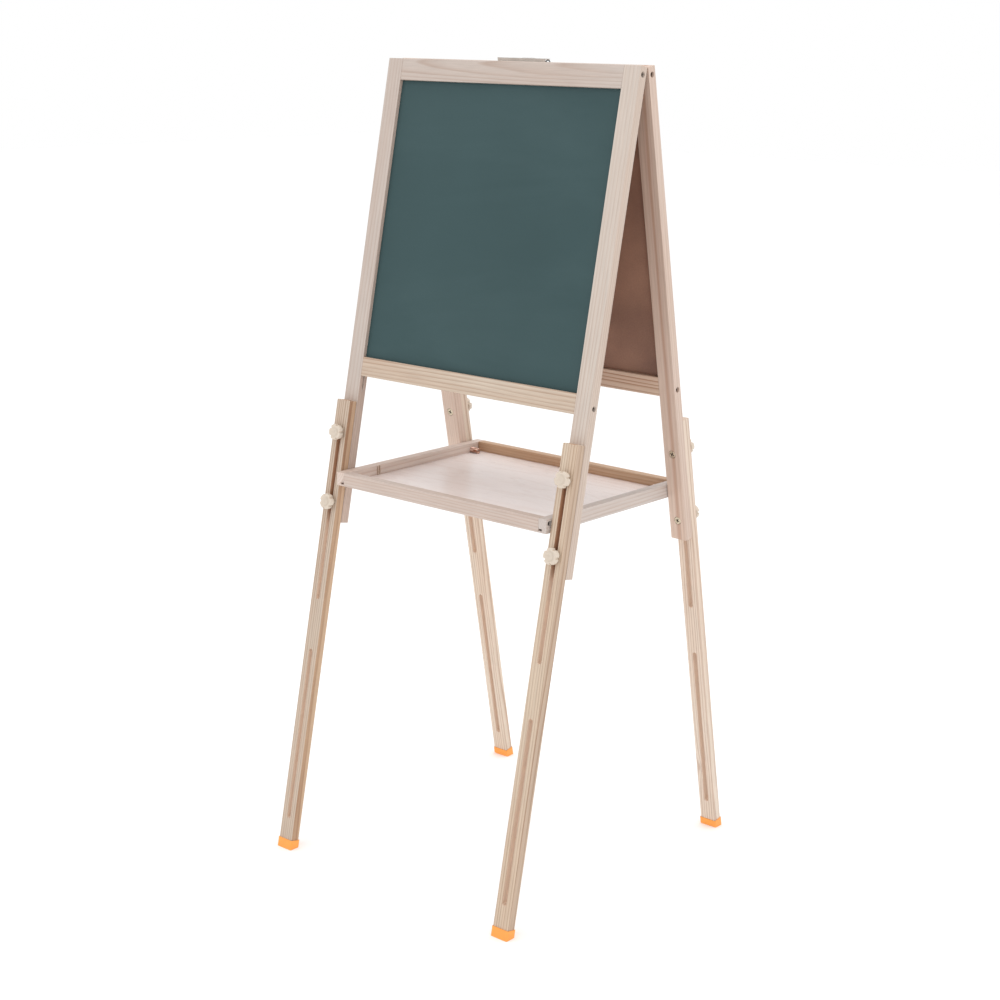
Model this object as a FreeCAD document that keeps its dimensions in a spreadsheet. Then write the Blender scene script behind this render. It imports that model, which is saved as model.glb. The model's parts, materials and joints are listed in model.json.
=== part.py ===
import FreeCAD, Part
import math
import os
import re

import Sketcher

# Folding double-sided kids easel: two board frames hinged at the top, four slotted
# extension legs with clamping knobs, a tray between the frames and a paper clip.
# Millimetres, +Z up, origin on the floor under the hinge; the chalkboard faces -Y.

doc = FreeCAD.newDocument("KidsEasel")
sheet = doc.addObject("Spreadsheet::Sheet", "Sizes")

# Driving dimensions. A "drop" is measured down a stile from its top end; cutPast is how
# far a cutter runs past the face it opens.
drivingSizes = [
    ("frameWidth", 500), ("leanAngle", 11.15),
    ("stileWidth", 30), ("stileThick", 16), ("stileLength", 752),
    ("topRail", 34), ("boardOpening", 444.5), ("bottomRail", 31),
    ("boardThick", 3), ("grooveDepth", 6), ("grooveClear", 0.2), ("bladeRadius", 60),
    ("boardClear", 0.5), ("screwRadius", 1.75), ("screwHead", 4.2), ("screwLength", 50),
    ("screwSunk", 4), ("pilotSpare", 0.8), ("recessWidth", 0.7), ("recessDepth", 0.8),
    ("topScrewDrop", 12), ("lowScrewDrop", 19), ("cutPast", 1),
    ("faceGap", 2), ("hingeDrop", 5), ("leafThick", 1), ("leafHeight", 16),
    ("hingeLength", 42), ("hingeSpread", 150), ("pinRadius", 1), ("pinClear", 0.05),
    ("knuckleGap", 0.35), ("leafScrewSpread", 13), ("leafScrewDrop", 10),
    ("leafScrewRadius", 1.1), ("leafScrewLength", 12),
    ("legWidth", 29), ("legThick", 15.5), ("legLength", 751.5), ("legOverlap", 200),
    ("legInset", 0.4), ("slideGap", 0.3), ("slotClear", 2), ("slotMargin", 42),
    ("slotWeb", 83), ("slotToFoot", 51.5),
    ("footWall", 1.6), ("footHeight", 16), ("footSole", 6), ("footFit", 0.05),
    ("boltRadius", 3), ("boltClear", 0.05), ("boltHeadRadius", 6.5), ("boltHead", 2.2),
    ("boltInset", 53), ("boltSpacing", 114), ("boltReach", 8), ("socketDepth", 1.5),
    ("knobCore", 9), ("lobeRadius", 3.6), ("lobeCentre", 9.4), ("lobeCount", 5),
    ("knobThick", 8), ("lobeStep", 1.5), ("collarRadius", 7), ("collarThick", 4),
    ("trayGap", 1.2), ("trayOverhang", 33.2), ("trayHeight", 22), ("trayStock", 15.4),
    ("trayRise", 79.8), ("floorRise", 3), ("floorThick", 3), ("floorTongue", 6.5),
    ("tongueClear", 0.5), ("traySink", 7), ("trayScrewLength", 40),
    ("trayHeadRadius", 4.6), ("trayHeadClear", 0.4), ("pivotHead", 2.6), ("pivotDepth", 20),
    ("thumbLength", 17), ("thumbSlot", 3), ("thumbSlotDepth", 9),
    ("insertRadius", 4.4), ("insertDepth", 13), ("endClear", 0.5),
    ("trayClipBehind", 46.8), ("trayClipWidth", 6), ("trayClipReach", 2.5), ("trayClipHeight", 15),
    ("trayClipBack", 7), ("sheetSteel", 1),
    ("clipWidth", 104), ("clipShift", 2.4), ("clipPlate", 1.2), ("clipRise", 4.7),
    ("clipHeight", 36), ("clipPinOut", 7), ("clipPinDrop", 14), ("clipPinRadius", 1.5),
    ("clipLug", 15), ("lugReach", 3), ("earReach", 2.6), ("leverOut", 3.4), ("jawDrop", 34),
    ("jawClear", 0.4), ("tabWidth", 24), ("tabRise", 4), ("springLength", 14),
    ("springWire", 1.2), ("rivetSpread", 38), ("rivetDrop", 24), ("rivetRadius", 1.6),
    ("loopRadius", 4.4), ("loopHole", 2.7), ("loopThick", 2), ("loopStrip", 1.3),
]
for row, (alias, number) in enumerate(drivingSizes, start=1):
    sheet.set("A%d" % row, alias)
    sheet.set("B%d" % row, str(number))
    sheet.setAlias("B%d" % row, alias)
doc.recompute()
size = {alias: float(sheet.get(alias)) for alias, number in drivingSizes}

lean = math.radians(size["leanAngle"])
legEnd = size["stileLength"] - size["legOverlap"] + size["legLength"]
footOut = sum(size[a] for a in ("faceGap", "stileThick", "slideGap", "legThick", "footWall"))
hingeHeight = (legEnd - size["hingeDrop"]) * math.cos(lean) - footOut * math.sin(lean)

# Ranges and places shared by several pieces, as formulas of the sheet's cells.
halfInside = "frameWidth / 2 - stileWidth"
panelFace = "(faceGap + stileThick)"
panelRange = ("-" + panelFace, "-faceGap")
panelMiddle = "-(faceGap + stileThick / 2)"
lowerRailDrop = "(topRail + boardOpening)"
legFace = "(faceGap + stileThick + slideGap)"
legOuterFace = "(faceGap + stileThick + slideGap + legThick)"
legCentre = "(frameWidth / 2 - legInset - legWidth / 2)"
trayHalf = "(frameWidth / 2 - stileWidth - trayGap)"
trayInside = "(frameWidth / 2 - stileWidth - trayGap - trayStock)"
legDrop = "(stileLength - legOverlap)"
slotWidth = "(2 * boltRadius + slotClear)"
boltDrops = ("(%s + boltInset)" % legDrop, "(%s + boltInset + boltSpacing)" % legDrop)
boltHole = "boltRadius + boltClear"
screwHole = "screwRadius + boltClear"
trayDrop = "(stileLength - trayRise)"
pivotReach = ("((faceGap + stileThick / 2) * cos(leanAngle * 1 deg)"
              " + (stileLength - trayRise - hingeDrop) * sin(leanAngle * 1 deg))")
trayEnd = "(%s + trayOverhang)" % pivotReach


def formula(text):
    """The text with every cell's alias written as the sheet's expression."""
    return re.sub(r"[A-Za-z]\w*", lambda m: "Sizes." + m.group() if m.group() in size else m.group(), text)


def sided(hand, low, high):
    """A range across the easel, mirrored for the side where x is negative."""
    return (low, high) if hand > 0 else ("-(%s)" % high, "-(%s)" % low)


def drop(text):
    """Height above the hinge axis of a point this far down the stile."""
    return "hingeDrop - (%s)" % text


def setPlace(thing, x, y, z):
    for axis, text in (("x", x), ("y", y), ("z", z)):
        thing.setExpression("Placement.Base." + axis, formula(text))


def block(x, y, z):
    box = doc.addObject("Part::Box", "Block")
    for side, (low, high) in (("Length", x), ("Width", y), ("Height", z)):
        box.setExpression(side, formula("(%s) - (%s)" % (high, low)))
    setPlace(box, x[0], y[0], z[0])
    return box


def turned(direction):
    """Rotation that takes a primitive's +Z to this direction."""
    return FreeCAD.Rotation(FreeCAD.Vector(0, 0, 1), FreeCAD.Vector(*direction))


def rod(radius, length, at, direction=(0, 0, 1)):
    cylinder = doc.addObject("Part::Cylinder", "Rod")
    cylinder.setExpression("Radius", formula(radius))
    cylinder.setExpression("Height", formula(length))
    cylinder.Placement.Rotation = turned(direction)
    setPlace(cylinder, *at)
    return cylinder


def taper(radiusStart, radiusEnd, length, at, direction=(0, 0, 1)):
    cone = doc.addObject("Part::Cone", "Taper")
    cone.setExpression("Radius1", formula(radiusStart))
    cone.setExpression("Radius2", formula(radiusEnd))
    cone.setExpression("Height", formula(length))
    cone.Placement.Rotation = turned(direction)
    setPlace(cone, *at)
    return cone


def fuse(pieces):
    joined = doc.addObject("Part::MultiFuse", "Joined")
    joined.Shapes = pieces
    return joined


def cut(base, cutters):
    remaining = doc.addObject("Part::Cut", "Remaining")
    remaining.Base = base
    remaining.Tool = cutters[0] if len(cutters) == 1 else fuse(cutters)
    return remaining


def group(pieces):
    together = doc.addObject("Part::Compound", "Together")
    together.Links = pieces
    return together


subParts = []


def subPart(label, thing, placement):
    """Registers a finished piece under its own label, at its place in the easel."""
    thing.Label = label
    thing.Placement = placement
    subParts.append(thing)
    return thing


def panelPlacement(side):
    """Frame of a leaning panel: hinge axis at its origin, -y out, +z up the stile."""
    leaning = FreeCAD.Rotation(FreeCAD.Vector(1, 0, 0), -size["leanAngle"])
    facing = FreeCAD.Rotation(FreeCAD.Vector(0, 0, 1), 180 if side == "rear" else 0)
    return FreeCAD.Placement(FreeCAD.Vector(0, 0, hingeHeight), facing.multiply(leaning))


def planeOf(body, role):
    return next(f for f in body.Origin.OriginFeatures if f.Role == role)


def sketchOn(body, role, offset):
    """Sketch on one of the body's own planes, moved along its normal."""
    sketch = body.newObject("Sketcher::SketchObject", "Outline")
    sketch.AttachmentSupport = [(planeOf(body, role), "")]
    sketch.MapMode = "FlatFace"
    sketch.setExpression("AttachmentOffset.Base.z", formula(offset))
    return sketch


def fixCoordinate(sketch, kind, geometry, point, text, guess):
    index = sketch.addConstraint(Sketcher.Constraint(kind, -1, 1, geometry, point, guess))
    sketch.setExpression("Constraints[%d]" % index, formula(text))


def numberOf(text):
    """Present value of a formula, used as a sketch point's first place."""
    probe = doc.addObject("App::FeaturePython", "Probe")
    probe.addProperty("App::PropertyFloat", "Number")
    probe.setExpression("Number", formula(text))
    probe.recompute()
    number = probe.Number
    doc.removeObject(probe.Name)
    return number


def drawRectangle(sketch, x, y):
    """Closed rectangle whose four sides are bound to formulas."""
    (x0, x1), (y0, y1) = [[numberOf(t) for t in pair] for pair in (x, y)]
    corners = [(x0, y0), (x1, y0), (x1, y1), (x0, y1)]
    first = sketch.GeometryCount
    for i in range(4):
        start, end = corners[i], corners[(i + 1) % 4]
        sketch.addGeometry(Part.LineSegment(FreeCAD.Vector(*start, 0), FreeCAD.Vector(*end, 0)))
    for i in range(4):
        sketch.addConstraint(Sketcher.Constraint("Coincident", first + i, 2, first + (i + 1) % 4, 1))
    for i in (0, 2):
        sketch.addConstraint(Sketcher.Constraint("Horizontal", first + i))
        sketch.addConstraint(Sketcher.Constraint("Vertical", first + i + 1))
    for corner, ends in ((first, (x[0], y[0], x0, y0)), (first + 2, (x[1], y[1], x1, y1))):
        fixCoordinate(sketch, "DistanceX", corner, 1, ends[0], ends[2])
        fixCoordinate(sketch, "DistanceY", corner, 1, ends[1], ends[3])


def drawCircle(sketch, x, y, radius):
    number = sketch.GeometryCount
    centre = FreeCAD.Vector(numberOf(x), numberOf(y), 0)
    sketch.addGeometry(Part.Circle(centre, FreeCAD.Vector(0, 0, 1), numberOf(radius)))
    for kind, text, guess in (("DistanceX", x, centre.x), ("DistanceY", y, centre.y)):
        if text != "0":
            fixCoordinate(sketch, kind, number, 3, text, guess)
    if x == "0" and y == "0":
        sketch.addConstraint(Sketcher.Constraint("Coincident", number, 3, -1, 1))
    elif y == "0":
        sketch.addConstraint(Sketcher.Constraint("PointOnObject", number, 3, -1))
    index = sketch.addConstraint(Sketcher.Constraint("Radius", number, numberOf(radius)))
    sketch.setExpression("Constraints[%d]" % index, formula(radius))


def pad(body, sketch, length):
    feature = body.newObject("PartDesign::Pad", "Pad")
    feature.Profile = sketch
    feature.setExpression("Length", formula(length))
    return feature


def pocket(body, sketch, length):
    """Pocket that cuts along the sketch's own normal."""
    feature = body.newObject("PartDesign::Pocket", "Pocket")
    feature.Profile = sketch
    feature.Reversed = True
    feature.setExpression("Length", formula(length))
    return feature


# ---- frames

def grooveRange():
    half = "(boardThick / 2 + grooveClear)"
    return (panelMiddle + " - " + half, panelMiddle + " + " + half)


def screwDrops():
    return ("topScrewDrop", lowerRailDrop + " + lowScrewDrop")


def countersunk(length, at, hand):
    """Cutters of a screw hole across the easel: its sink, its countersink and its bore."""
    step = (hand, 0, 0)
    under = ("%s + %d * screwSunk" % (at[0], hand), at[1], at[2])
    return [rod(screwHole, length, at, step), rod("screwHead + 2 * boltClear", "screwSunk", at, step),
            taper("screwHead + 2 * boltClear", screwHole, "screwHead - screwRadius + boltClear", under, step)]


def makeStile(side, name, hand):
    """Upright lath with a sawn board groove, its bolt holes and its countersunk holes."""
    blank = block(sided(hand, halfInside, "frameWidth / 2"), panelRange,
                  (drop("stileLength"), "hingeDrop"))
    grooveEnd = drop(lowerRailDrop + " + bottomRail")
    cutters = [block(sided(hand, halfInside + " - cutPast", halfInside + " + grooveDepth"),
                     grooveRange(), (grooveEnd, drop("topRail - grooveDepth")))]
    bladeCentre = "%d * (%s + grooveDepth - bladeRadius)" % (hand, halfInside)
    cutters.append(rod("bladeRadius", "boardThick + 2 * grooveClear",
                       (bladeCentre, grooveRange()[0], grooveEnd), (0, 1, 0)))
    for number in range(2):
        at = ("%d * %s" % (hand, legCentre), "cutPast - faceGap", drop(boltDrops[number]))
        cutters.append(rod(boltHole, "stileThick + 2 * cutPast", at, (0, -1, 0)))
        cutters.append(rod("boltHeadRadius + boltClear", "boltHead + cutPast", at, (0, -1, 0)))
    for place in screwDrops():
        outer = ("%d * frameWidth / 2" % hand, panelMiddle, drop(place))
        cutters += countersunk("stileWidth + cutPast", outer, -hand)
    at = ("%d * (%s - cutPast)" % (hand, halfInside), panelMiddle, drop(trayDrop))
    if side == "front":
        cutters.append(rod(boltHole, "pivotDepth + cutPast", at, (hand, 0, 0)))
    else:
        cutters.append(rod("insertRadius + boltClear", "insertDepth + cutPast", at, (hand, 0, 0)))
    subPart("%s_stile_%s" % (side, name), cut(blank, cutters), panelPlacement(side))


def makeRail(side, name, top, height, grooveAtLowEdge, screwDrop):
    """Cross rail between the stiles, grooved along the edge that holds the board."""
    low = drop("%s + %s" % (top, height))
    blank = block(("-(%s)" % halfInside, halfInside), panelRange, (low, drop(top)))
    if grooveAtLowEdge:
        groove = (low + " - cutPast", low + " + grooveDepth")
    else:
        groove = (drop(top) + " - grooveDepth", drop(top) + " + cutPast")
    cutters = [block(("-(%s) - cutPast" % halfInside, halfInside + " + cutPast"), grooveRange(), groove)]
    for hand in (-1, 1):
        at = ("%d * (%s + cutPast)" % (hand, halfInside), panelMiddle, drop(screwDrop))
        cutters.append(rod(screwHole, "screwLength + screwSunk - stileWidth + cutPast + pilotSpare",
                           at, (-hand, 0, 0)))
    if name == "top":
        for place in leafScrewPlaces():
            cutters.append(rod("leafScrewRadius + boltClear", "leafScrewLength + pilotSpare",
                               (place, "-faceGap", "-leafScrewDrop"), (0, -1, 0)))
    subPart("%s_%s_rail" % (side, name), cut(blank, cutters), panelPlacement(side))


def makeBoard(side, name):
    edge = "(grooveDepth - boardClear)"
    board = block(("-(%s + %s)" % (halfInside, edge), halfInside + " + " + edge),
                  (panelMiddle + " - boardThick / 2", panelMiddle + " + boardThick / 2"),
                  (drop(lowerRailDrop + " + " + edge), drop("topRail - " + edge)))
    subPart(name, group([board]), panelPlacement(side))


def recess(at, direction, reach, depth, width):
    """Two crossed blocks that cut a cross recess in a screw's head."""
    blades = []
    for long in range(3):
        if direction[long]:
            continue
        spans = []
        for axis in range(3):
            half = depth if direction[axis] else reach if axis == long else "%s / 2" % width
            spans.append(("%s - %s" % (at[axis], half), "%s + %s" % (at[axis], half)))
        blades.append(block(*spans))
    return blades


def woodScrew(radius, headRadius, length, at, direction):
    """Countersunk screw with a cross recess; the place is the centre of its flat head."""
    def along(distance):
        return tuple("(%s) + %s * (%s)" % (place, step, distance) for place, step in zip(at, direction))
    neck = "(%s - %s)" % (headRadius, radius)
    pointLength = "2 * " + radius
    head = taper(headRadius, radius, neck, at, direction)
    shank = rod(radius, "%s - %s - %s" % (length, neck, pointLength), along(neck), direction)
    point = taper(radius, radius + " / 6", pointLength, along("%s - %s" % (length, pointLength)), direction)
    reach = "(%s * 0.6)" % headRadius
    return cut(fuse([head, shank, point]), recess(at, direction, reach, "recessDepth", "recessWidth"))


def makeFrameScrews(side):
    screws = []
    for hand in (-1, 1):
        for place in screwDrops():
            at = ("%d * (frameWidth / 2 - screwSunk)" % hand, panelMiddle, drop(place))
            screws.append(woodScrew("screwRadius", "screwHead", "screwLength", at, (-hand, 0, 0)))
    subPart("%s_frame_screws" % side, group(screws), panelPlacement(side))


# ---- hinges

def hingeCentre(side, name):
    """Place of a hinge across the panel, in the panel's own frame."""
    hand = (1 if name == "right" else -1) * (-1 if side == "rear" else 1)
    return "%d * hingeSpread" % hand


leafScrewHead = "(leafScrewRadius + leafThick)"


def leafScrewPlaces():
    steps = (-1, 1)
    return ["%d * hingeSpread + %d * leafScrewSpread" % (hand, step) for hand in steps for step in steps]


def makeLeaf(side, name):
    """Butt hinge leaf: the front one carries the outer knuckles, the rear one the middle."""
    centre = hingeCentre(side, name)
    third = "(hingeLength / 3)"
    knuckleRadius = "(faceGap - knuckleGap)"
    plate = block((centre + " - hingeLength / 2", centre + " + hingeLength / 2"),
                  ("-faceGap", "leafThick - faceGap"), ("-leafHeight", "0"))
    if side == "front":
        own = [(-1.5, -0.5), (0.5, 1.5)]
        other = [(-0.5, 0.5)]
    else:
        own = [(-0.5, 0.5)]
        other = [(-1.5, -0.5), (0.5, 1.5)]
    knuckles = []
    for low, high in own:
        start = "%s + %s * %s + knuckleGap / 2" % (centre, low, third)
        knuckles.append(rod(knuckleRadius, "%s - knuckleGap" % third, (start, "0", "0"), (1, 0, 0)))
    cutters = []
    for low, high in other:
        start = "%s + %s * %s - knuckleGap / 2" % (centre, low, third)
        cutters.append(rod("faceGap", "%s + knuckleGap" % third, (start, "0", "0"), (1, 0, 0)))
    cutters.append(rod("pinRadius + pinClear", "hingeLength + 2 * cutPast",
                       (centre + " - hingeLength / 2 - cutPast", "0", "0"), (1, 0, 0)))
    for step in (-1, 1):
        at = (centre + " + %d * leafScrewSpread" % step, "leafThick - faceGap", "-leafScrewDrop")
        cutters.append(rod("leafScrewRadius + boltClear", "leafThick + cutPast", at, (0, -1, 0)))
        cutters.append(taper(leafScrewHead + " + boltClear", "leafScrewRadius + boltClear", "leafThick",
                             at, (0, -1, 0)))
    subPart("hinge_%s_%s_leaf" % (name, side), cut(fuse([plate] + knuckles), cutters), panelPlacement(side))


def makeHingePin(name):
    centre = hingeCentre("front", name)
    pin = rod("pinRadius", "hingeLength", (centre + " - hingeLength / 2", "0", "0"), (1, 0, 0))
    subPart("hinge_%s_pin" % name, group([pin]), panelPlacement("front"))


def makeLeafScrews(side):
    screws = []
    for place in leafScrewPlaces():
        at = (place, "leafThick - faceGap", "-leafScrewDrop")
        screws.append(woodScrew("leafScrewRadius", leafScrewHead, "leafScrewLength", at, (0, -1, 0)))
    subPart("%s_hinge_screws" % side, group(screws), panelPlacement(side))


# ---- legs

def makeLeg(side, name, hand):
    """Extension leg: a lath with two long slots that ride on the clamping bolts."""
    body = doc.addObject("PartDesign::Body", "Leg")
    x = sided(hand, "%s - legWidth / 2" % legCentre, "%s + legWidth / 2" % legCentre)
    lath = sketchOn(body, "XZ_Plane", legFace)
    drawRectangle(lath, x, (drop(legDrop + " + legLength - footSole"), drop(legDrop)))
    pad(body, lath, "legThick")
    centre = "%d * %s" % (hand, legCentre)
    slotTop = legDrop + " + slotMargin"
    slotEnd = legDrop + " + legLength - slotToFoot"
    slotRun = "((legLength - slotMargin - slotToFoot - slotWeb) / 2)"
    straight = sketchOn(body, "XZ_Plane", legFace)
    rounds = sketchOn(body, "XZ_Plane", legFace)
    for low, high in ((slotTop, "%s + %s" % (slotTop, slotRun)), ("%s - %s" % (slotEnd, slotRun), slotEnd)):
        half = slotWidth + " / 2"
        upper = drop("%s + %s" % (low, half))
        lower = drop("%s - %s" % (high, half))
        drawRectangle(straight, ("%s - %s" % (centre, half), "%s + %s" % (centre, half)), (lower, upper))
        drawCircle(rounds, centre, upper, half)
        drawCircle(rounds, centre, lower, half)
    pocket(body, straight, "legThick")
    pocket(body, rounds, "legThick")
    subPart("%s_leg_%s" % (side, name), body, panelPlacement(side))


def makeFoot(side, name, hand):
    """Plastic shoe round the leg's end, with a sole that is level with the floor."""
    end = legDrop + " + legLength"
    wide = "(legWidth / 2 + footWall)"
    snug = "(legWidth / 2 + footFit)"
    centre = "%d * %s" % (hand, legCentre)
    shoe = block((centre + " - " + wide, centre + " + " + wide),
                 ("-(%s + footWall)" % legOuterFace, "-(%s - footWall)" % legFace),
                 (drop(end), drop(end + " - footHeight")))
    socket = block((centre + " - " + snug, centre + " + " + snug),
                   ("-(%s + footFit)" % legOuterFace, "-(%s - footFit)" % legFace),
                   (drop(end + " - footSole"), drop(end + " - footHeight - cutPast")))
    ground = doc.addObject("Part::Box", "Ground")
    span = 2 * legEnd
    ground.Length = ground.Width = ground.Height = span
    below = FreeCAD.Placement(FreeCAD.Vector(-span / 2, -span / 2, -span), FreeCAD.Rotation())
    ground.Placement = panelPlacement("front").inverse().multiply(below)
    subPart("%s_foot_%s" % (side, name), cut(shoe, [socket, ground]), panelPlacement(side))


def makeLegBolts(side, name, hand):
    """Flat-headed bolts from the stile's inner face through the leg's slot."""
    bolts = []
    for number in range(2):
        at = ("%d * %s" % (hand, legCentre), "-faceGap", drop(boltDrops[number]))
        head = rod("boltHeadRadius", "boltHead", at, (0, -1, 0))
        shank = rod("boltRadius", "stileThick + 2 * slideGap + legThick + boltReach", at, (0, -1, 0))
        socket = recess(at, (0, -1, 0), "(boltHeadRadius / 2)", "socketDepth", "(2 * recessWidth)")
        bolts.append(cut(fuse([head, shank]), socket))
    subPart("%s_%s_leg_bolts" % (side, name), group(bolts), panelPlacement(side))


def makeKnob(side, name, hand, number):
    """Lobed clamping knob with a collar, threaded on the bolt outside the leg."""
    body = doc.addObject("PartDesign::Body", "Knob")
    collar = sketchOn(body, "XY_Plane", "0")
    drawCircle(collar, "0", "0", "collarRadius")
    pad(body, collar, "collarThick")
    core = sketchOn(body, "XY_Plane", "collarThick")
    drawCircle(core, "0", "0", "knobCore")
    pad(body, core, "knobThick")
    lobe = sketchOn(body, "XY_Plane", "collarThick")
    drawCircle(lobe, "lobeCentre", "0", "lobeRadius")
    lobePad = pad(body, lobe, "knobThick - lobeStep")
    doc.recompute()
    ring = body.newObject("PartDesign::PolarPattern", "Lobes")
    ring.Originals = [lobePad]
    ring.Axis = (next(f for f in body.Origin.OriginFeatures if f.Role == "Z_Axis"), [""])
    ring.Angle = 360
    ring.setExpression("Occurrences", formula("lobeCount"))
    body.Tip = ring
    bore = sketchOn(body, "XY_Plane", "0")
    drawCircle(bore, "0", "0", boltHole)
    pocket(body, bore, "boltReach + endClear")
    x = hand * numberOf(legCentre)
    y = -numberOf(legOuterFace + " + slideGap")
    z = numberOf(drop(boltDrops[number]))
    seat = FreeCAD.Placement(FreeCAD.Vector(x, y, z), turned((0, -1, 0)))
    level = ("upper", "lower")[number]
    subPart("%s_%s_%s_knob" % (side, name, level), body, panelPlacement(side).multiply(seat))


# ---- tray

pivotHeight = hingeHeight + (size["faceGap"] + size["stileThick"] / 2) * math.sin(lean) \
    - (size["stileLength"] - size["trayRise"] - size["hingeDrop"]) * math.cos(lean)
trayPlacement = FreeCAD.Placement(FreeCAD.Vector(0, 0, pivotHeight), FreeCAD.Rotation())
floorTop = "-(trayHeadRadius + trayHeadClear)"
floorRange = (floorTop + " - floorThick", floorTop)
floorSlot = (floorRange[0] + " - grooveClear", floorRange[1] + " + grooveClear")
trayRange = (floorTop + " - floorThick - floorRise", floorTop + " - floorThick - floorRise + trayHeight")
trayScrewHeight = "(%s - traySink)" % trayRange[1]


trayScrewPlace = "(%s - trayStock / 2)" % trayEnd


def makeSideRail(name, hand):
    blank = block(sided(hand, trayInside, trayHalf), ("-" + trayEnd, trayEnd), trayRange)
    cutters = [block(sided(hand, trayInside + " - cutPast", trayInside + " + floorTongue + tongueClear"),
                     ("-%s - cutPast" % trayEnd, trayEnd + " + cutPast"), floorSlot)]
    for end in (-1, 1):
        bore = ("%d * (%s - cutPast)" % (hand, trayInside), "%d * %s" % (end, pivotReach), "0")
        cutters.append(rod(boltHole, "trayStock + 2 * cutPast", bore, (hand, 0, 0)))
        at = ("%d * %s" % (hand, trayHalf), "%d * %s" % (end, trayScrewPlace), trayScrewHeight)
        cutters += countersunk("trayStock + cutPast", at, -hand)
    subPart("tray_%s_rail" % name, cut(blank, cutters), trayPlacement)


def makeCrossRail(name, end):
    inner = trayEnd + " - trayStock"
    blank = block(("-" + trayInside, trayInside), sided(end, inner, trayEnd), trayRange)
    cutters = [block(("-%s - cutPast" % trayInside, trayInside + " + cutPast"),
                     sided(end, inner + " - cutPast", inner + " + floorTongue + tongueClear"), floorSlot)]
    for hand in (-1, 1):
        at = ("%d * (%s + cutPast)" % (hand, trayInside), "%d * %s" % (end, trayScrewPlace),
              trayScrewHeight)
        cutters.append(rod(screwHole, "trayScrewLength + screwSunk - trayStock + cutPast + pilotSpare",
                           at, (-hand, 0, 0)))
    subPart("tray_%s_rail" % name, cut(blank, cutters), trayPlacement)


def makeTrayFloor():
    halfLong = "(%s - trayStock + floorTongue)" % trayEnd
    floor = block(("-(%s + floorTongue)" % trayInside, trayInside + " + floorTongue"),
                  ("-" + halfLong, halfLong), floorRange)
    subPart("tray_floor", group([floor]), trayPlacement)


def makeTrayScrews():
    screws = []
    for hand in (-1, 1):
        for end in (-1, 1):
            at = ("%d * (%s - screwSunk)" % (hand, trayHalf), "%d * %s" % (end, trayScrewPlace),
                  trayScrewHeight)
            screws.append(woodScrew("screwRadius", "screwHead", "trayScrewLength", at, (-hand, 0, 0)))
    subPart("tray_screws", group(screws), trayPlacement)


def makePivotBolts():
    """Pan-headed bolts from inside the tray into the front stiles: the tray turns on them."""
    bolts = []
    for hand in (-1, 1):
        at = ("%d * (%s - slideGap)" % (hand, trayInside), "-" + pivotReach, "0")
        head = rod("trayHeadRadius", "pivotHead", at, (-hand, 0, 0))
        shank = rod("boltRadius", "slideGap + trayStock + trayGap + pivotDepth - endClear", at, (hand, 0, 0))
        tip = ("%d * (%s - slideGap - pivotHead)" % (hand, trayInside), at[1], at[2])
        socket = recess(tip, (hand, 0, 0), "(trayHeadRadius * 0.6)", "socketDepth", "(2 * recessWidth)")
        bolts.append(cut(fuse([head, shank]), socket))
    subPart("tray_pivot_bolts", group(bolts), trayPlacement)


def makeThumbScrew(name, hand):
    """Round forked hand screw that holds the tray's rear end to the rear stile."""
    at = ("%d * (%s - slideGap)" % (hand, trayInside), pivotReach, "0")
    grip = rod("trayHeadRadius", "thumbLength", at, (-hand, 0, 0))
    shank = rod("boltRadius", "slideGap + trayStock - endClear", at, (hand, 0, 0))
    slot = block(sided(hand, trayInside + " - slideGap - thumbLength - cutPast",
                       trayInside + " - slideGap - thumbLength + thumbSlotDepth"),
                 (pivotReach + " - trayHeadRadius - cutPast", pivotReach + " + trayHeadRadius + cutPast"),
                 ("-thumbSlot / 2", "thumbSlot / 2"))
    subPart("tray_thumb_screw_%s" % name, cut(fuse([grip, shank]), [slot]), trayPlacement)


def makeInserts():
    """Threaded inserts in the rear stiles, level with the tray's hand screws."""
    inserts = []
    for hand in (-1, 1):
        mouth = ("%d * (%s)" % (hand, halfInside), panelMiddle, drop(trayDrop))
        sleeve = rod("insertRadius", "insertDepth", mouth, (hand, 0, 0))
        bore = ("%d * (%s - cutPast)" % (hand, halfInside), panelMiddle, drop(trayDrop))
        inserts.append(cut(sleeve, [rod(boltHole, "insertDepth + 2 * cutPast", bore, (hand, 0, 0))]))
    subPart("rear_stile_inserts", group(inserts), panelPlacement("rear"))


def makeTrayClip():
    """Small sheet-steel U clip standing on the inner face of the left rail."""
    face = "-" + trayInside
    low = floorTop + " + slideGap"
    place = "(%s - trayClipBehind)" % pivotReach
    y0 = "-(%s + trayClipWidth / 2)" % place
    y1 = "-(%s - trayClipWidth / 2)" % place
    back = block((face, face + " + sheetSteel"), (y0, y1), (low, low + " + trayClipBack"))
    arms = []
    for edge in ((y0, y0 + " + sheetSteel"), (y1 + " - sheetSteel", y1)):
        arms.append(block((face, face + " + trayClipReach"), edge, (low, low + " + trayClipHeight")))
    hole = rod("leafScrewRadius + boltClear", "sheetSteel + 2 * cutPast",
               (face + " - cutPast", "-" + place, low + " + trayClipBack / 2"), (1, 0, 0))
    subPart("tray_clip", cut(fuse([back] + arms), [hole]), trayPlacement)


# ---- paper clip

def clipFrame():
    """The rear panel's frame, moved across to the clip's middle."""
    shift = FreeCAD.Placement(FreeCAD.Vector(-size["clipShift"], 0, 0), FreeCAD.Rotation())
    return panelPlacement("rear").multiply(shift)


clipPinY = "-(%s + clipPinOut)" % panelFace
clipPinZ = "(hingeDrop - clipPinDrop)"
clipHalf = "(clipWidth / 2)"
clipTop = "(hingeDrop + clipRise)"
leverRange = (clipPinY + " - leverOut - sheetSteel", clipPinY + " - leverOut")


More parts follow.
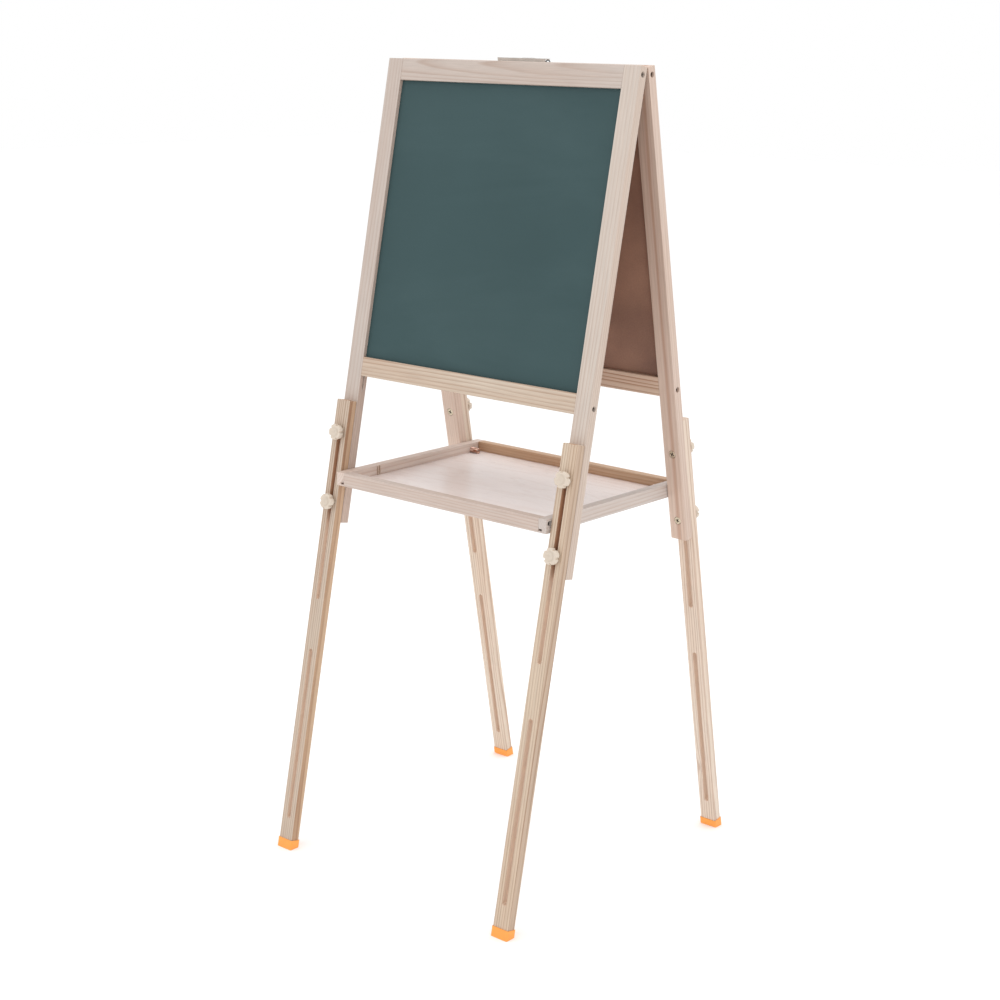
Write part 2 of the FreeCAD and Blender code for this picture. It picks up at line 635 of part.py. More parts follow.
def makeClipBase():
    """Back plate riveted on the rear top rail, with two lugs that carry the pin."""
    plate = block(("-" + clipHalf, clipHalf), ("-(%s + clipPlate)" % panelFace, "-" + panelFace),
                  (clipTop + " - clipHeight", clipTop))
    lugs = []
    for step in (-1, 1):
        lug = sided(step, "clipLug", "clipLug + clipPlate")
        lugs.append(block(lug, (clipPinY, "-" + panelFace),
                          (clipPinZ + " - lugReach", clipPinZ + " + lugReach")))
        lugs.append(rod("lugReach", "clipPlate", (lug[0], clipPinY, clipPinZ), (1, 0, 0)))
    cutters = [rod("clipPinRadius + boltClear", "2 * clipLug + 4 * clipPlate",
                   ("-clipLug - 2 * clipPlate", clipPinY, clipPinZ), (1, 0, 0))]
    for step in (-1, 1):
        at = ("%d * rivetSpread" % step, "cutPast - " + panelFace, drop("rivetDrop"))
        cutters.append(rod("rivetRadius + boltClear", "clipPlate + 2 * cutPast", at, (0, -1, 0)))
    cutters.append(block(("-%s - cutPast" % clipHalf, "-%s + 2 * loopRadius" % clipHalf),
                         ("-(%s + clipPlate + cutPast)" % panelFace, "cutPast - " + panelFace),
                         (clipTop + " - loopStrip - 2 * loopRadius", clipTop + " - loopStrip")))
    subPart("clip_base", cut(fuse([plate] + lugs), cutters), clipFrame())


def makeClipPin():
    pin = rod("clipPinRadius", "2 * clipLug + 4 * clipPlate - 2 * boltClear",
              ("-clipLug - 2 * clipPlate + boltClear", clipPinY, clipPinZ), (1, 0, 0))
    subPart("clip_pin", group([pin]), clipFrame())


def makeClipLever():
    """Lever: a wide jaw that presses on the paper and a thumb tab above the pin."""
    jaw = block(("-" + clipHalf, clipHalf), leverRange, (drop("jawDrop"), clipPinZ + " + lugReach"))
    lip = block(("-" + clipHalf, clipHalf), (leverRange[0], "-(%s + clipPlate + jawClear)" % panelFace),
                (drop("jawDrop"), drop("jawDrop") + " + sheetSteel"))
    tab = block(("-tabWidth / 2", "tabWidth / 2"), leverRange, (clipPinZ, "hingeDrop + tabRise"))
    ears = []
    for step in (-1, 1):
        ear = sided(step, "clipLug - 2 * sheetSteel", "clipLug - sheetSteel")
        ears.append(block(ear, (leverRange[0], clipPinY),
                          (clipPinZ + " - earReach", clipPinZ + " + earReach")))
        ears.append(rod("earReach", "sheetSteel", (ear[0], clipPinY, clipPinZ), (1, 0, 0)))
    bore = rod("clipPinRadius + boltClear", "2 * clipLug", ("-clipLug", clipPinY, clipPinZ), (1, 0, 0))
    subPart("clip_lever", cut(fuse([jaw, lip, tab] + ears), [bore]), clipFrame())


def makeClipSpring():
    """Torsion spring round the pin, as the tube that its coils fill."""
    coil = rod("clipPinRadius + slideGap + springWire", "springLength",
               ("-springLength / 2", clipPinY, clipPinZ), (1, 0, 0))
    core = rod("clipPinRadius + slideGap", "springLength + 2 * cutPast",
               ("-springLength / 2 - cutPast", clipPinY, clipPinZ), (1, 0, 0))
    subPart("clip_spring", cut(coil, [core]), clipFrame())


def makeClipRivets():
    rivets = []
    for step in (-1, 1):
        at = ("%d * rivetSpread" % step, "-(%s + clipPlate)" % panelFace, drop("rivetDrop"))
        head = rod("rivetRadius * 2", "sheetSteel", at, (0, -1, 0))
        rivets.append(fuse([head, rod("rivetRadius", "clipPlate", at, (0, 1, 0))]))
    subPart("clip_rivets", group(rivets), clipFrame())


def makeClipLoop():
    """Dark rubber loop in the notch at the upper corner of the clip's plate."""
    at = ("loopRadius - " + clipHalf, "-" + panelFace, clipTop + " - loopStrip - loopRadius")
    ring = rod("loopRadius", "loopThick", at, (0, -1, 0))
    hole = rod("loopHole", "loopThick + 2 * cutPast", (at[0], at[1] + " + cutPast", at[2]), (0, -1, 0))
    subPart("clip_end_loop", cut(ring, [hole]), clipFrame())


for side in ("front", "rear"):
    for name, worldHand in (("left", -1), ("right", 1)):
        hand = -worldHand if side == "rear" else worldHand
        makeStile(side, name, hand)
        makeLeg(side, name, hand)
        makeFoot(side, name, hand)
        makeLegBolts(side, name, hand)
        for number in range(2):
            makeKnob(side, name, hand, number)
        makeLeaf(side, name)
    makeRail(side, "top", "0", "topRail", True, "topScrewDrop")
    makeRail(side, "bottom", lowerRailDrop, "bottomRail", False, lowerRailDrop + " + lowScrewDrop")
    makeFrameScrews(side)
    makeLeafScrews(side)
makeBoard("front", "chalkboard")
makeBoard("rear", "whiteboard")
for name, hand in (("left", -1), ("right", 1)):
    makeHingePin(name)
    makeSideRail(name, hand)
    makeThumbScrew(name, hand)
makeCrossRail("front", -1)
makeCrossRail("rear", 1)
makeTrayFloor()
makeTrayScrews()
makePivotBolts()
makeInserts()
makeTrayClip()
makeClipBase()
makeClipPin()
makeClipLever()
makeClipSpring()
makeClipRivets()
makeClipLoop()

doc.recompute()
for thing in doc.Objects:
    if "Invalid" in thing.State or "Error" in thing.State:
        raise RuntimeError("%s (%s) failed" % (thing.Name, thing.Label))
for thing in subParts:
    if thing.Shape.isNull() or not thing.Shape.isValid() or not thing.Shape.Solids:
        raise RuntimeError("%s has no valid solid" % thing.Label)
os.makedirs("parts", exist_ok=True)
for thing in subParts:
    thing.Shape.exportStep(os.path.join("parts", thing.Label + ".step"))
print("%d sub-parts, hinge axis at %.2f, tray pivot height %.2f" % (len(subParts), hingeHeight, pivotHeight))
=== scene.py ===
import json
import math

import bmesh
import bpy
from mathutils import Matrix, Vector

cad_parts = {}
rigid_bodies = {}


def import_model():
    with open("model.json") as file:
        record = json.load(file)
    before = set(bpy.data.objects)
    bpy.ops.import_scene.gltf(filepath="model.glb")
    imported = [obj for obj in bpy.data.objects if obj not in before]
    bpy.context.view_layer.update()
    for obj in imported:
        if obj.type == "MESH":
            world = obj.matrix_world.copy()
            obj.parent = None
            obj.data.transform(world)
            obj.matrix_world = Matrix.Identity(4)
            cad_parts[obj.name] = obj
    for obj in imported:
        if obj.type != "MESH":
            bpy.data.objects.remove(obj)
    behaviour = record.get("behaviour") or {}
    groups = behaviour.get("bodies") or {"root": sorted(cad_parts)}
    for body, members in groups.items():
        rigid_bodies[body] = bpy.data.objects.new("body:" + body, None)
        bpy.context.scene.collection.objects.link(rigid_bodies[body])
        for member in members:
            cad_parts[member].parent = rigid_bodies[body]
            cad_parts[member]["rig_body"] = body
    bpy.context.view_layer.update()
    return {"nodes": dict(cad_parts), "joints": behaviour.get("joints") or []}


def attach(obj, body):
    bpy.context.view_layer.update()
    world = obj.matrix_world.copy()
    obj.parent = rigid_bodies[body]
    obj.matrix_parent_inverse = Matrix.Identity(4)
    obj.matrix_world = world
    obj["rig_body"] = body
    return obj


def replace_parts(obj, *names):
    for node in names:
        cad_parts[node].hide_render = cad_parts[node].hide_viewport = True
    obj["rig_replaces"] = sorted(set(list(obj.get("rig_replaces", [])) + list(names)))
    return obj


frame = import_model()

nodes = frame["nodes"]
joints = {j["name"]: j for j in frame["joints"]}
print("stage 1: frame loaded, %d nodes" % len(nodes))

hingePoint = Vector(joints["frame_fold"]["pos_m"])
legLine = Vector(joints["front_leg_left_slide"]["axis"])
lean = math.atan2(legLine.y, legLine.z)


def panelFrame(side):
    # origin on the top hinge, -y out of the panel, +z up the stile
    facing = math.pi if side == "rear" else 0
    turn = Matrix.Rotation(facing, 4, "Z") @ Matrix.Rotation(-lean, 4, "X")
    return Matrix.Translation(hingePoint) @ turn


def frameOf(node):
    if node.startswith("tray") and node != "tray_pivot_bolts":
        return Matrix.Identity(4)
    rear = "rear" in node or node.startswith("clip") or node == "whiteboard"
    return panelFrame("rear" if rear else "front")


def localBox(node):
    # lowest and highest corner of a node in its own panel's frame
    back = frameOf(node).inverted()
    points = [back @ v.co for v in nodes[node].data.vertices]
    low = Vector(min(p[i] for p in points) for i in range(3))
    high = Vector(max(p[i] for p in points) for i in range(3))
    return low, high


def deselectAll():
    bpy.ops.object.select_all(action="DESELECT")


def activate(piece):
    deselectAll()
    piece.select_set(True)
    bpy.context.view_layer.objects.active = piece


def editMode(piece, kind="FACE"):
    activate(piece)
    bpy.ops.object.mode_set(mode="EDIT")
    bpy.ops.mesh.select_mode(type=kind)
    bpy.ops.mesh.select_all(action="DESELECT")


def objectMode():
    bpy.ops.object.mode_set(mode="OBJECT")


def pick(piece, kind, test):
    # selects the faces, edges or vertices that pass the test, and nothing else
    bpy.ops.mesh.select_mode(type=kind)
    bpy.ops.mesh.select_all(action="DESELECT")
    mesh = bmesh.from_edit_mesh(piece.data)
    mesh.normal_update()
    for element in {"FACE": mesh.faces, "EDGE": mesh.edges}[kind]:
        if test(element):
            element.select_set(True)
    mesh.select_flush_mode()
    bmesh.update_edit_mesh(piece.data)


def applyModifier(piece, kind, **values):
    activate(piece)
    bpy.ops.object.modifier_add(type=kind)
    modifier = piece.modifiers[-1]
    for key, value in values.items():
        setattr(modifier, key, value)
    bpy.ops.object.modifier_apply(modifier=modifier.name)


def smooth(piece, degrees=35, weighted=True):
    activate(piece)
    bpy.ops.object.shade_smooth_by_angle(angle=math.radians(degrees), keep_sharp_edges=False)
    if weighted:
        applyModifier(piece, "WEIGHTED_NORMAL", keep_sharp=True)


def finishPiece(piece, name, node, material, matrix=None):
    # bakes the place into the mesh, names the piece and lets it ride with its node's body
    if matrix is not None:
        piece.data.transform(matrix)
    piece.matrix_world = Matrix.Identity(4)
    piece.name = name
    piece.data.name = name
    piece.data.materials.clear()
    piece.data.materials.append(material)
    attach(piece, nodes[node]["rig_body"])
    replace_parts(piece, node)


cameraView = {"place": (1.8687, -2.2106, 1.3255), "yaw": -40.481, "pitch": -14.348, "roll": 0.824,
              "lens": 66.55, "sensor": 36.0}


def makeCamera():
    yaw, pitch, roll = (math.radians(cameraView[k]) for k in ("yaw", "pitch", "roll"))
    forward = Vector((math.sin(yaw) * math.cos(pitch), math.cos(yaw) * math.cos(pitch), math.sin(pitch)))
    level = Vector((math.cos(yaw), -math.sin(yaw), 0))
    above = level.cross(forward)
    right = level * math.cos(roll) + above * math.sin(roll)
    up = above * math.cos(roll) - level * math.sin(roll)
    turn = Matrix((right, up, -forward)).transposed().to_4x4()
    data = bpy.data.cameras.new("viewCamera")
    data.lens = cameraView["lens"]
    data.sensor_width = cameraView["sensor"]
    camera = bpy.data.objects.new("viewCamera", data)
    camera.matrix_world = Matrix.Translation(cameraView["place"]) @ turn
    bpy.context.scene.collection.objects.link(camera)
    bpy.context.scene.camera = camera


class Shader:
    # a short way to lay out the nodes of one material

    def __init__(self, name):
        self.material = bpy.data.materials.new(name)
        self.material.use_nodes = True
        self.tree = self.material.node_tree
        self.tree.nodes.clear()
        self.output = self.add("ShaderNodeOutputMaterial")
        self.surface = self.add("ShaderNodeBsdfPrincipled")
        self.join(self.surface, "BSDF", self.output, "Surface")

    def add(self, kind, **values):
        node = self.tree.nodes.new(kind)
        for key, value in values.items():
            setattr(node, key, value)
        return node

    def join(self, source, plug, target, socket):
        self.tree.links.new(source.outputs[plug], target.inputs[socket])

    def put(self, value, target, socket):
        # a number is set on the socket, and a (node, output) pair is linked to it
        if isinstance(value, tuple) and len(value) == 2 and not isinstance(value[0], (int, float)):
            self.join(value[0], value[1], target, socket)
        else:
            target.inputs[socket].default_value = value

    def math(self, operation, first, second=0.0, third=0.0, clamp=False):
        node = self.add("ShaderNodeMath", operation=operation, use_clamp=clamp)
        for socket, value in enumerate((first, second, third)):
            self.put(value, node, socket)
        return (node, 0)

    def times(self, first, second):
        return self.math("MULTIPLY", first, second)

    def length(self, first, second):
        return self.math("SQRT", self.math("ADD", self.times(first, first), self.times(second, second)))

    def mapped(self, vector, place=(0, 0, 0), turn=(0, 0, 0), scale=(1, 1, 1)):
        node = self.add("ShaderNodeMapping")
        self.put(vector, node, "Vector")
        node.inputs["Location"].default_value = place
        node.inputs["Rotation"].default_value = turn
        node.inputs["Scale"].default_value = scale
        return (node, 0)

    def noise(self, vector, scale, detail=2.0, rough=0.5, distortion=0.0):
        node = self.add("ShaderNodeTexNoise")
        self.put(vector, node, "Vector")
        node.inputs["Scale"].default_value = scale
        node.inputs["Detail"].default_value = detail
        node.inputs["Roughness"].default_value = rough
        node.inputs["Distortion"].default_value = distortion
        return (node, 0)

    def ramp(self, value, stops):
        # stops are (place, colour or grey)
        node = self.add("ShaderNodeValToRGB")
        self.put(value, node, 0)
        band = node.color_ramp
        while len(band.elements) < len(stops):
            band.elements.new(0.5)
        for element, (place, tone) in zip(band.elements, stops):
            element.position = place
            element.color = (tone, tone, tone, 1) if isinstance(tone, (int, float)) else (*tone, 1)
        return (node, 0)

    def mix(self, share, first, second, kind="MIX"):
        node = self.add("ShaderNodeMix", data_type="RGBA", blend_type=kind)
        self.put(share, node, 0)
        for socket, value in ((6, first), (7, second)):
            self.put((*value, 1) if isinstance(value, tuple) and len(value) == 3 else value, node, socket)
        return (node, 2)

    def objectPlace(self):
        return (self.add("ShaderNodeTexCoord"), "Object")

    def bump(self, height, strength, distance):
        node = self.add("ShaderNodeBump")
        node.inputs["Strength"].default_value = strength
        node.inputs["Distance"].default_value = distance
        self.put(height, node, "Height")
        self.join(node, 0, self.surface, "Normal")

    def finish(self, colour, roughness, **fixed):
        self.put(colour, self.surface, "Base Color")
        self.put(roughness, self.surface, "Roughness")
        for key, value in fixed.items():
            self.surface.inputs[key].default_value = value
        return self.material


def linear(red, green, blue):
    # screen colour, 0 to 255, as light
    def one(value):
        value = value / 255
        return value / 12.92 if value <= 0.04045 else ((value + 0.055) / 1.055) ** 2.4
    return (one(red), one(green), one(blue))


framePine = {"pale": linear(226, 211, 200), "warm": linear(219, 197, 183), "dark": linear(186, 150, 128),
             "ring": 0.0042, "contrast": 0.50, "fibre": 0.10, "blotch": 0.6}
legPine = {"pale": linear(232, 215, 196), "warm": linear(222, 194, 170), "dark": linear(164, 118, 88),
           "ring": 0.0046, "contrast": 0.82, "fibre": 0.12, "blotch": 0.6}
stripedPine = {"pale": linear(224, 202, 182), "warm": linear(212, 178, 154), "dark": linear(160, 108, 78),
               "ring": 0.0060, "contrast": 0.95, "fibre": 0.12, "blotch": 0.6}
trayPine = {"pale": linear(224, 208, 198), "warm": linear(218, 192, 176), "dark": linear(186, 146, 122),
            "ring": 0.0040, "contrast": 0.50, "fibre": 0.10, "blotch": 0.55}
# painted shade: the tray's rear rail gets this darker, more orange pine for the warm shade inside the tray
shadedAmberPine = {"pale": linear(220, 194, 170), "warm": linear(206, 164, 130), "dark": linear(176, 122, 86),
             "ring": 0.0042, "contrast": 0.60, "fibre": 0.10, "blotch": 0.8}
# slot walls: their bare sawn tone, and the colour and heights of the painted shade that darkens them where
# the stile stands behind the slot
sawnLook = {"tone": linear(230, 205, 184), "stileShade": (0.74, 0.54, 0.42), "shadeStart": 0.165, "wearAndShade": 0.200}
heartwood = linear(184, 138, 112)
knotTone = linear(120, 74, 44)


def woodMaterial(name, look, node, along, pith, seed, tilt=(0.0, 0.0), streak=None, knot=None, slotHalf=None,
                 tint=(1, 1, 1), edgeTint=(1, 1, 1)):
    # Growth rings round a pith line beside the lath, so every face and the end grain agree.
    # along is the grain's axis in the piece's own frame; pith and streak are across it, in metres.
    # tint scales the colour of the whole lath, and the second tint scales its two narrow sides further, as
    # painted shade on those sides.
    low, high = localBox(node)
    middle = frameOf(node) @ ((low + high) / 2)
    local = frameOf(node).inverted().to_3x3()
    turn = local.to_euler("XYZ")
    shader = Shader(name)
    place = shader.mapped(shader.objectPlace(), turn=tuple(turn), place=tuple(-(local @ middle)))
    swap = {"Z": (0, 0, 0), "X": (0, -math.pi / 2, 0), "Y": (math.pi / 2, 0, 0)}[along]
    grain = shader.mapped(place, turn=swap)                      # grain along z, face across x
    leaned = shader.mapped(grain, turn=(tilt[0], tilt[1], 0), place=(pith[0], pith[1], 0))
    parts = shader.add("ShaderNodeSeparateXYZ")
    shader.put(leaned, parts, 0)
    wobbleAt = shader.mapped(grain, place=(seed, seed * 0.37, seed * 1.7), scale=(9, 9, 1.6))
    wobble = shader.noise(wobbleAt, 1.0, 2.0, 0.5)
    shift = shader.math("MULTIPLY_ADD", wobble, 0.016, -0.008)
    acrossX = shader.math("ADD", (parts, "X"), shift)
    reach = shader.length(acrossX, (parts, "Y"))
    own = shader.add("ShaderNodeSeparateXYZ")
    shader.put(grain, own, 0)
    if knot:
        offX = shader.math("SUBTRACT", (own, "X"), knot["across"])
        offZ = shader.times(shader.math("SUBTRACT", (own, "Z"), knot["along"]), 0.55)
        away = shader.length(offX, offZ)
        ruffle = shader.noise(shader.mapped(grain, scale=(300, 300, 200), place=(seed, 0, 0)), 1.0, 2.0)
        away = shader.math("ADD", away, shader.math("MULTIPLY_ADD", ruffle, 0.0016, -0.0008))
        near = shader.times(away, -1.0 / (knot["size"] * 2.2))
        push = shader.times(shader.math("EXPONENT", near), knot["size"] * 1.6)
        reach = shader.math("ADD", reach, push)
        knotShare = shader.ramp(shader.math("DIVIDE", away, knot["size"] * 2.0),
                                [(0.0, 1.0), (0.42, 0.85), (0.5, 0.55), (0.62, 0.16), (1.0, 0.0)])
    # ring widths vary along the radius, and each ring darkens slowly and ends sharply
    years = shader.times(reach, 1.0 / look["ring"])
    uneven = shader.noise(shader.mapped(grain, place=(seed * 2.1, 0, 0), scale=(90, 90, 3)), 1.0, 1.0)
    years = shader.math("ADD", years, shader.times(uneven, 0.9))
    ring = shader.math("FRACT", years)
    late = shader.ramp(ring, [(0.0, 0.05), (0.45, 0.12), (0.74, 0.6), (0.86, 1.0), (0.95, 0.5), (1.0, 0.05)])
    fading = shader.noise(shader.mapped(grain, place=(0, seed, 0), scale=(30, 30, 2.5)), 1.0, 2.0)
    fadeShare = shader.ramp(fading, [(0.3, 0.35), (0.7, 1.0)])
    fibreAt = shader.mapped(grain, place=(seed, seed, seed), scale=(1500, 1500, 22))
    fibre = shader.noise(fibreAt, 1.0, 3.0, 0.6)
    blotch = shader.noise(shader.mapped(grain, place=(seed * 3, seed, 0), scale=(34, 34, 3.2)), 1.0, 2.0)
    base = shader.mix(shader.ramp(blotch, [(0.32, 0.0), (0.72, look["blotch"])]), look["pale"], look["warm"])
    if streak:
        wander = shader.math("MULTIPLY_ADD", wobble, 0.012, -0.006)
        apart = shader.math("ABSOLUTE", shader.math("SUBTRACT", shader.math("ADD", acrossX, wander),
                                                    streak["across"] + pith[0]))
        heart = shader.ramp(shader.math("DIVIDE", apart, streak["width"]),
                            [(0.0, streak["strength"]), (0.45, streak["strength"] * 0.7), (1.0, 0.0)])
        base = shader.mix(heart, base, heartwood)
    lateShare = shader.times(shader.times(late, fadeShare), look["contrast"])
    colour = shader.mix(lateShare, base, look["dark"])
    if knot:
        colour = shader.mix(shader.times(knotShare, knot["share"]), colour, knotTone)
    half = (high.x - low.x) / 2 - 0.0003
    onEdge = shader.math("GREATER_THAN", shader.math("ABSOLUTE", (own, "X")), half)
    # painted shade on the two narrow sides: their colour is scaled by the side tint as well as the lath's
    # tint
    tone = shader.mix(onEdge, tint, tuple(a * b for a, b in zip(tint, edgeTint)))
    colour = shader.mix(1.0, colour, tone, "MULTIPLY")
    if slotHalf:
        # the sawn walls inside a leg's slots are bare and pale, and darkened with painted shade higher up,
        # where the stile closes the slot behind them and the bolts ride
        inside = (high.y - low.y) / 2 - 0.0004
        sawn = shader.times(shader.math("LESS_THAN", shader.math("ABSOLUTE", (own, "X")), slotHalf),
                            shader.math("LESS_THAN", shader.math("ABSOLUTE", (own, "Y")), inside))
        stops = [(sawnLook["shadeStart"] * 2 + 0.5, (1, 1, 1)), (sawnLook["wearAndShade"] * 2 + 0.5, sawnLook["stileShade"])]
        rubAndShade = shader.ramp(shader.math("MULTIPLY_ADD", (own, "Z"), 2.0, 0.5), stops)
        colour = shader.mix(sawn, colour, shader.mix(1.0, rubAndShade, sawnLook["tone"], "MULTIPLY"))
    thread = shader.ramp(fibre, [(0.3, 1.0 - look["fibre"] * 1.6), (0.62, 1.0)])
    colour = shader.mix(1.0, colour, thread, "MULTIPLY")
    roughness = shader.math("MULTIPLY_ADD", fibre, 0.18, 0.44)
    relief = shader.math("MULTIPLY_ADD", late, 0.6, shader.times(fibre, 0.5))
    shader.bump(relief, 0.35, 0.00018)
    return shader.finish(colour, roughness, **{"Specular IOR Level": 0.32})


boardLook = {"paint": linear(58, 80, 82), "dust": linear(98, 118, 120), "brown": linear(170, 128, 106),
             "brownDark": linear(124, 90, 75), "white": linear(236, 238, 238), "smear": linear(196, 202, 206)}


def sideMask(shader, node):
    # 1 on the face towards -y of the panel's own frame, 0 on the other
    low, high = localBox(node)
    local = frameOf(node).inverted()
    place = shader.mapped(shader.objectPlace(), turn=tuple(local.to_euler("XYZ")),
                          place=tuple(local.translation))
    parts = shader.add("ShaderNodeSeparateXYZ")
    shader.put(place, parts, 0)
    level = shader.math("SUBTRACT", (parts, "Y"), low.y + (high.y - low.y) * 0.5)
    return place, shader.math("LESS_THAN", level, 0.0)


def hardboardColour(shader, place):
    # brown pressed fibre: fine flecks and a slow change of tone
    fleck = shader.noise(shader.mapped(place, scale=(1, 1, 0.7)), 900.0, 4.0, 0.7)
    slow = shader.noise(place, 7.0, 3.0)
    tone = shader.mix(shader.ramp(slow, [(0.3, 0.0), (0.7, 1.0)]), boardLook["brown"], boardLook["brownDark"])
    flecks = shader.ramp(fleck, [(0.3, 0.80), (0.55, 1.0), (0.75, 1.12)])
    return shader.mix(1.0, tone, flecks, "MULTIPLY"), fleck


def chalkboardMaterial():
    shader = Shader("chalkPaint")
    place, front = sideMask(shader, "chalkboard")
    wipe = shader.noise(shader.mapped(place, turn=(0, 0.5, 0), scale=(2.2, 2.2, 9)), 1.0, 4.0, 0.6, 0.6)
    cloud = shader.noise(place, 3.1, 3.0, 0.55)
    grainNoise = shader.noise(place, 1600.0, 2.0, 0.7)
    dust = shader.ramp(wipe, [(0.42, 0.0), (0.78, 0.13)])
    paint = shader.mix(dust, boardLook["paint"], boardLook["dust"])
    paint = shader.mix(1.0, paint, shader.ramp(cloud, [(0.3, 0.93), (0.7, 1.05)]), "MULTIPLY")
    paint = shader.mix(1.0, paint, shader.ramp(grainNoise, [(0.3, 0.93), (0.7, 1.05)]), "MULTIPLY")
    brown, fleck = hardboardColour(shader, place)
    colour = shader.mix(front, brown, paint)
    roughness = shader.math("MULTIPLY_ADD", wipe, 0.14, 0.68)
    shader.bump(shader.math("ADD", grainNoise, shader.times(fleck, 0.5)), 0.22, 0.00012)
    return shader.finish(colour, roughness, **{"Specular IOR Level": 0.25})


def whiteboardMaterial():
    shader = Shader("whiteFace")
    place, front = sideMask(shader, "whiteboard")
    smear = shader.noise(shader.mapped(place, turn=(0, -0.6, 0), scale=(3, 3, 14)), 1.0, 4.0, 0.6, 0.8)
    cloud = shader.noise(place, 5.0, 2.0)
    peel = shader.noise(place, 420.0, 1.0)
    white = shader.mix(shader.ramp(smear, [(0.5, 0.0), (0.85, 0.10)]), boardLook["white"], boardLook["smear"])
    white = shader.mix(1.0, white, shader.ramp(cloud, [(0.3, 0.97), (0.7, 1.0)]), "MULTIPLY")
    brown, fleck = hardboardColour(shader, place)
    colour = shader.mix(front, brown, white)
    gloss = shader.math("MULTIPLY_ADD", smear, 0.16, 0.16)
    dull = shader.math("MULTIPLY_ADD", fleck, 0.15, 0.6)
    spread = shader.math("ADD", shader.times(front, gloss),
                         shader.times(shader.math("SUBTRACT", 1.0, front), dull))
    shader.bump(shader.math("ADD", peel, shader.times(fleck, 0.3)), 0.08, 0.0001)
    return shader.finish(colour, spread)


def metalMaterial(name, tone, shadeTone, rough, scale=90.0, recess=None):
    # recess is a (node, depth) pair: what lies deeper behind the heads' faces is painted dark, as painted
    # shade in the heads' recesses
    shader = Shader(name)
    place = shader.objectPlace()
    cloud = shader.noise(place, scale, 3.0, 0.6)
    # brushed rub marks on the metal; they set roughness and bump only, and no shade is painted with them
    rubAndShade = shader.noise(shader.mapped(place, scale=(40, 900, 900)), 1.0, 2.0, 0.6)
    colour = shader.mix(shader.ramp(cloud, [(0.35, 0.0), (0.75, 1.0)]), tone, shadeTone)
    if recess:
        node, depth = recess
        low, high = localBox(node)
        back = frameOf(node).inverted()
        parts = shader.add("ShaderNodeSeparateXYZ")
        local = shader.mapped(place, turn=tuple(back.to_euler("XYZ")), place=tuple(back.translation))
        shader.put(local, parts, 0)
        # painted shade: everything deeper than the head's face by the given depth is darkened
        deep = shader.math("LESS_THAN", (parts, "Y"), high.y - depth)
        colour = shader.mix(deep, colour, tuple(value * 0.12 for value in shadeTone))
    roughness = shader.math("MULTIPLY_ADD", rubAndShade, 0.2, rough)
    shader.bump(rubAndShade, 0.12, 0.00005)
    return shader.finish(colour, roughness, Metallic=1.0)


def plasticMaterial(name, tone, wornTone, rough, scuffHeight=None):
    shader = Shader(name)
    place = shader.objectPlace()
    cloud = shader.noise(place, 60.0, 3.0, 0.6)
    fine = shader.noise(place, 2600.0, 2.0, 0.6)
    # the plastic's wear: random patches, and scratches near the bottom when a scuff height is given; no shade
    # is painted here
    wearAndShade = shader.ramp(cloud, [(0.45, 0.0), (0.8, 0.35)])
    if scuffHeight:
        parts = shader.add("ShaderNodeSeparateXYZ")
        shader.put(place, parts, 0)
        low = shader.math("SUBTRACT", 1.0, shader.math("DIVIDE", (parts, "Z"), scuffHeight), clamp=True)
        scratch = shader.ramp(shader.noise(place, 420.0, 3.0, 0.7), [(0.42, 0.0), (0.6, 1.0)])
        wearAndShade = shader.math("ADD", wearAndShade, shader.times(shader.times(low, scratch), 0.5),
                           clamp=True)
    colour = shader.mix(wearAndShade, tone, wornTone)
    roughness = shader.math("MULTIPLY_ADD", cloud, 0.2, rough)
    shader.bump(fine, 0.12, 0.00006)
    return shader.finish(colour, roughness, **{"Specular IOR Level": 0.45})


zincSteel = metalMaterial("zincSteel", (0.56, 0.50, 0.43), (0.42, 0.37, 0.31), 0.30)
nickelSteel = metalMaterial("nickelSteel", (0.72, 0.71, 0.69), (0.58, 0.57, 0.55), 0.30, 40.0)
brassSteel = metalMaterial("brassSteel", (0.80, 0.70, 0.60), (0.60, 0.50, 0.42), 0.26, 60.0)
# painted shade: the frame and tray screws are coloured near black for the dark of the deep holes they sit in
screwSteel = metalMaterial("screwSteel", (0.055, 0.042, 0.032), (0.035, 0.026, 0.02), 0.40)
# painted reflection: the pink-brown colour of the thumb screws stands in for the warm wood mirrored in their
# polished metal
warmReflectionSteel = metalMaterial("warmReflectionSteel", (0.74, 0.50, 0.41), (0.54, 0.34, 0.26), 0.20, 60.0)
boltSteel = {side: metalMaterial(side + "BoltSteel", (0.72, 0.62, 0.48), (0.50, 0.42, 0.30), 0.24, 200.0,
                                 recess=(side + "_left_leg_bolts", 0.0005)) for side in ("front", "rear")}
orangePlastic = plasticMaterial("orangePlastic", linear(252, 166, 74), linear(240, 150, 84), 0.34, 0.007)
ivoryPlastic = plasticMaterial("ivoryPlastic", linear(216, 202, 186), linear(202, 186, 166), 0.40)
blackRubber = plasticMaterial("blackRubber", linear(34, 33, 32), linear(58, 56, 54), 0.55)
print("stage 2: shared materials made")


easing = {"lath": 0.0009, "tray": 0.0008, "board": 0.0004, "segments": 3, "share": 0.55,
          "slotHalf": 0.0044}


copying = {"merge": 0.000005, "flat": 0.3, "near": 0.00003}     # metres, degrees, metres


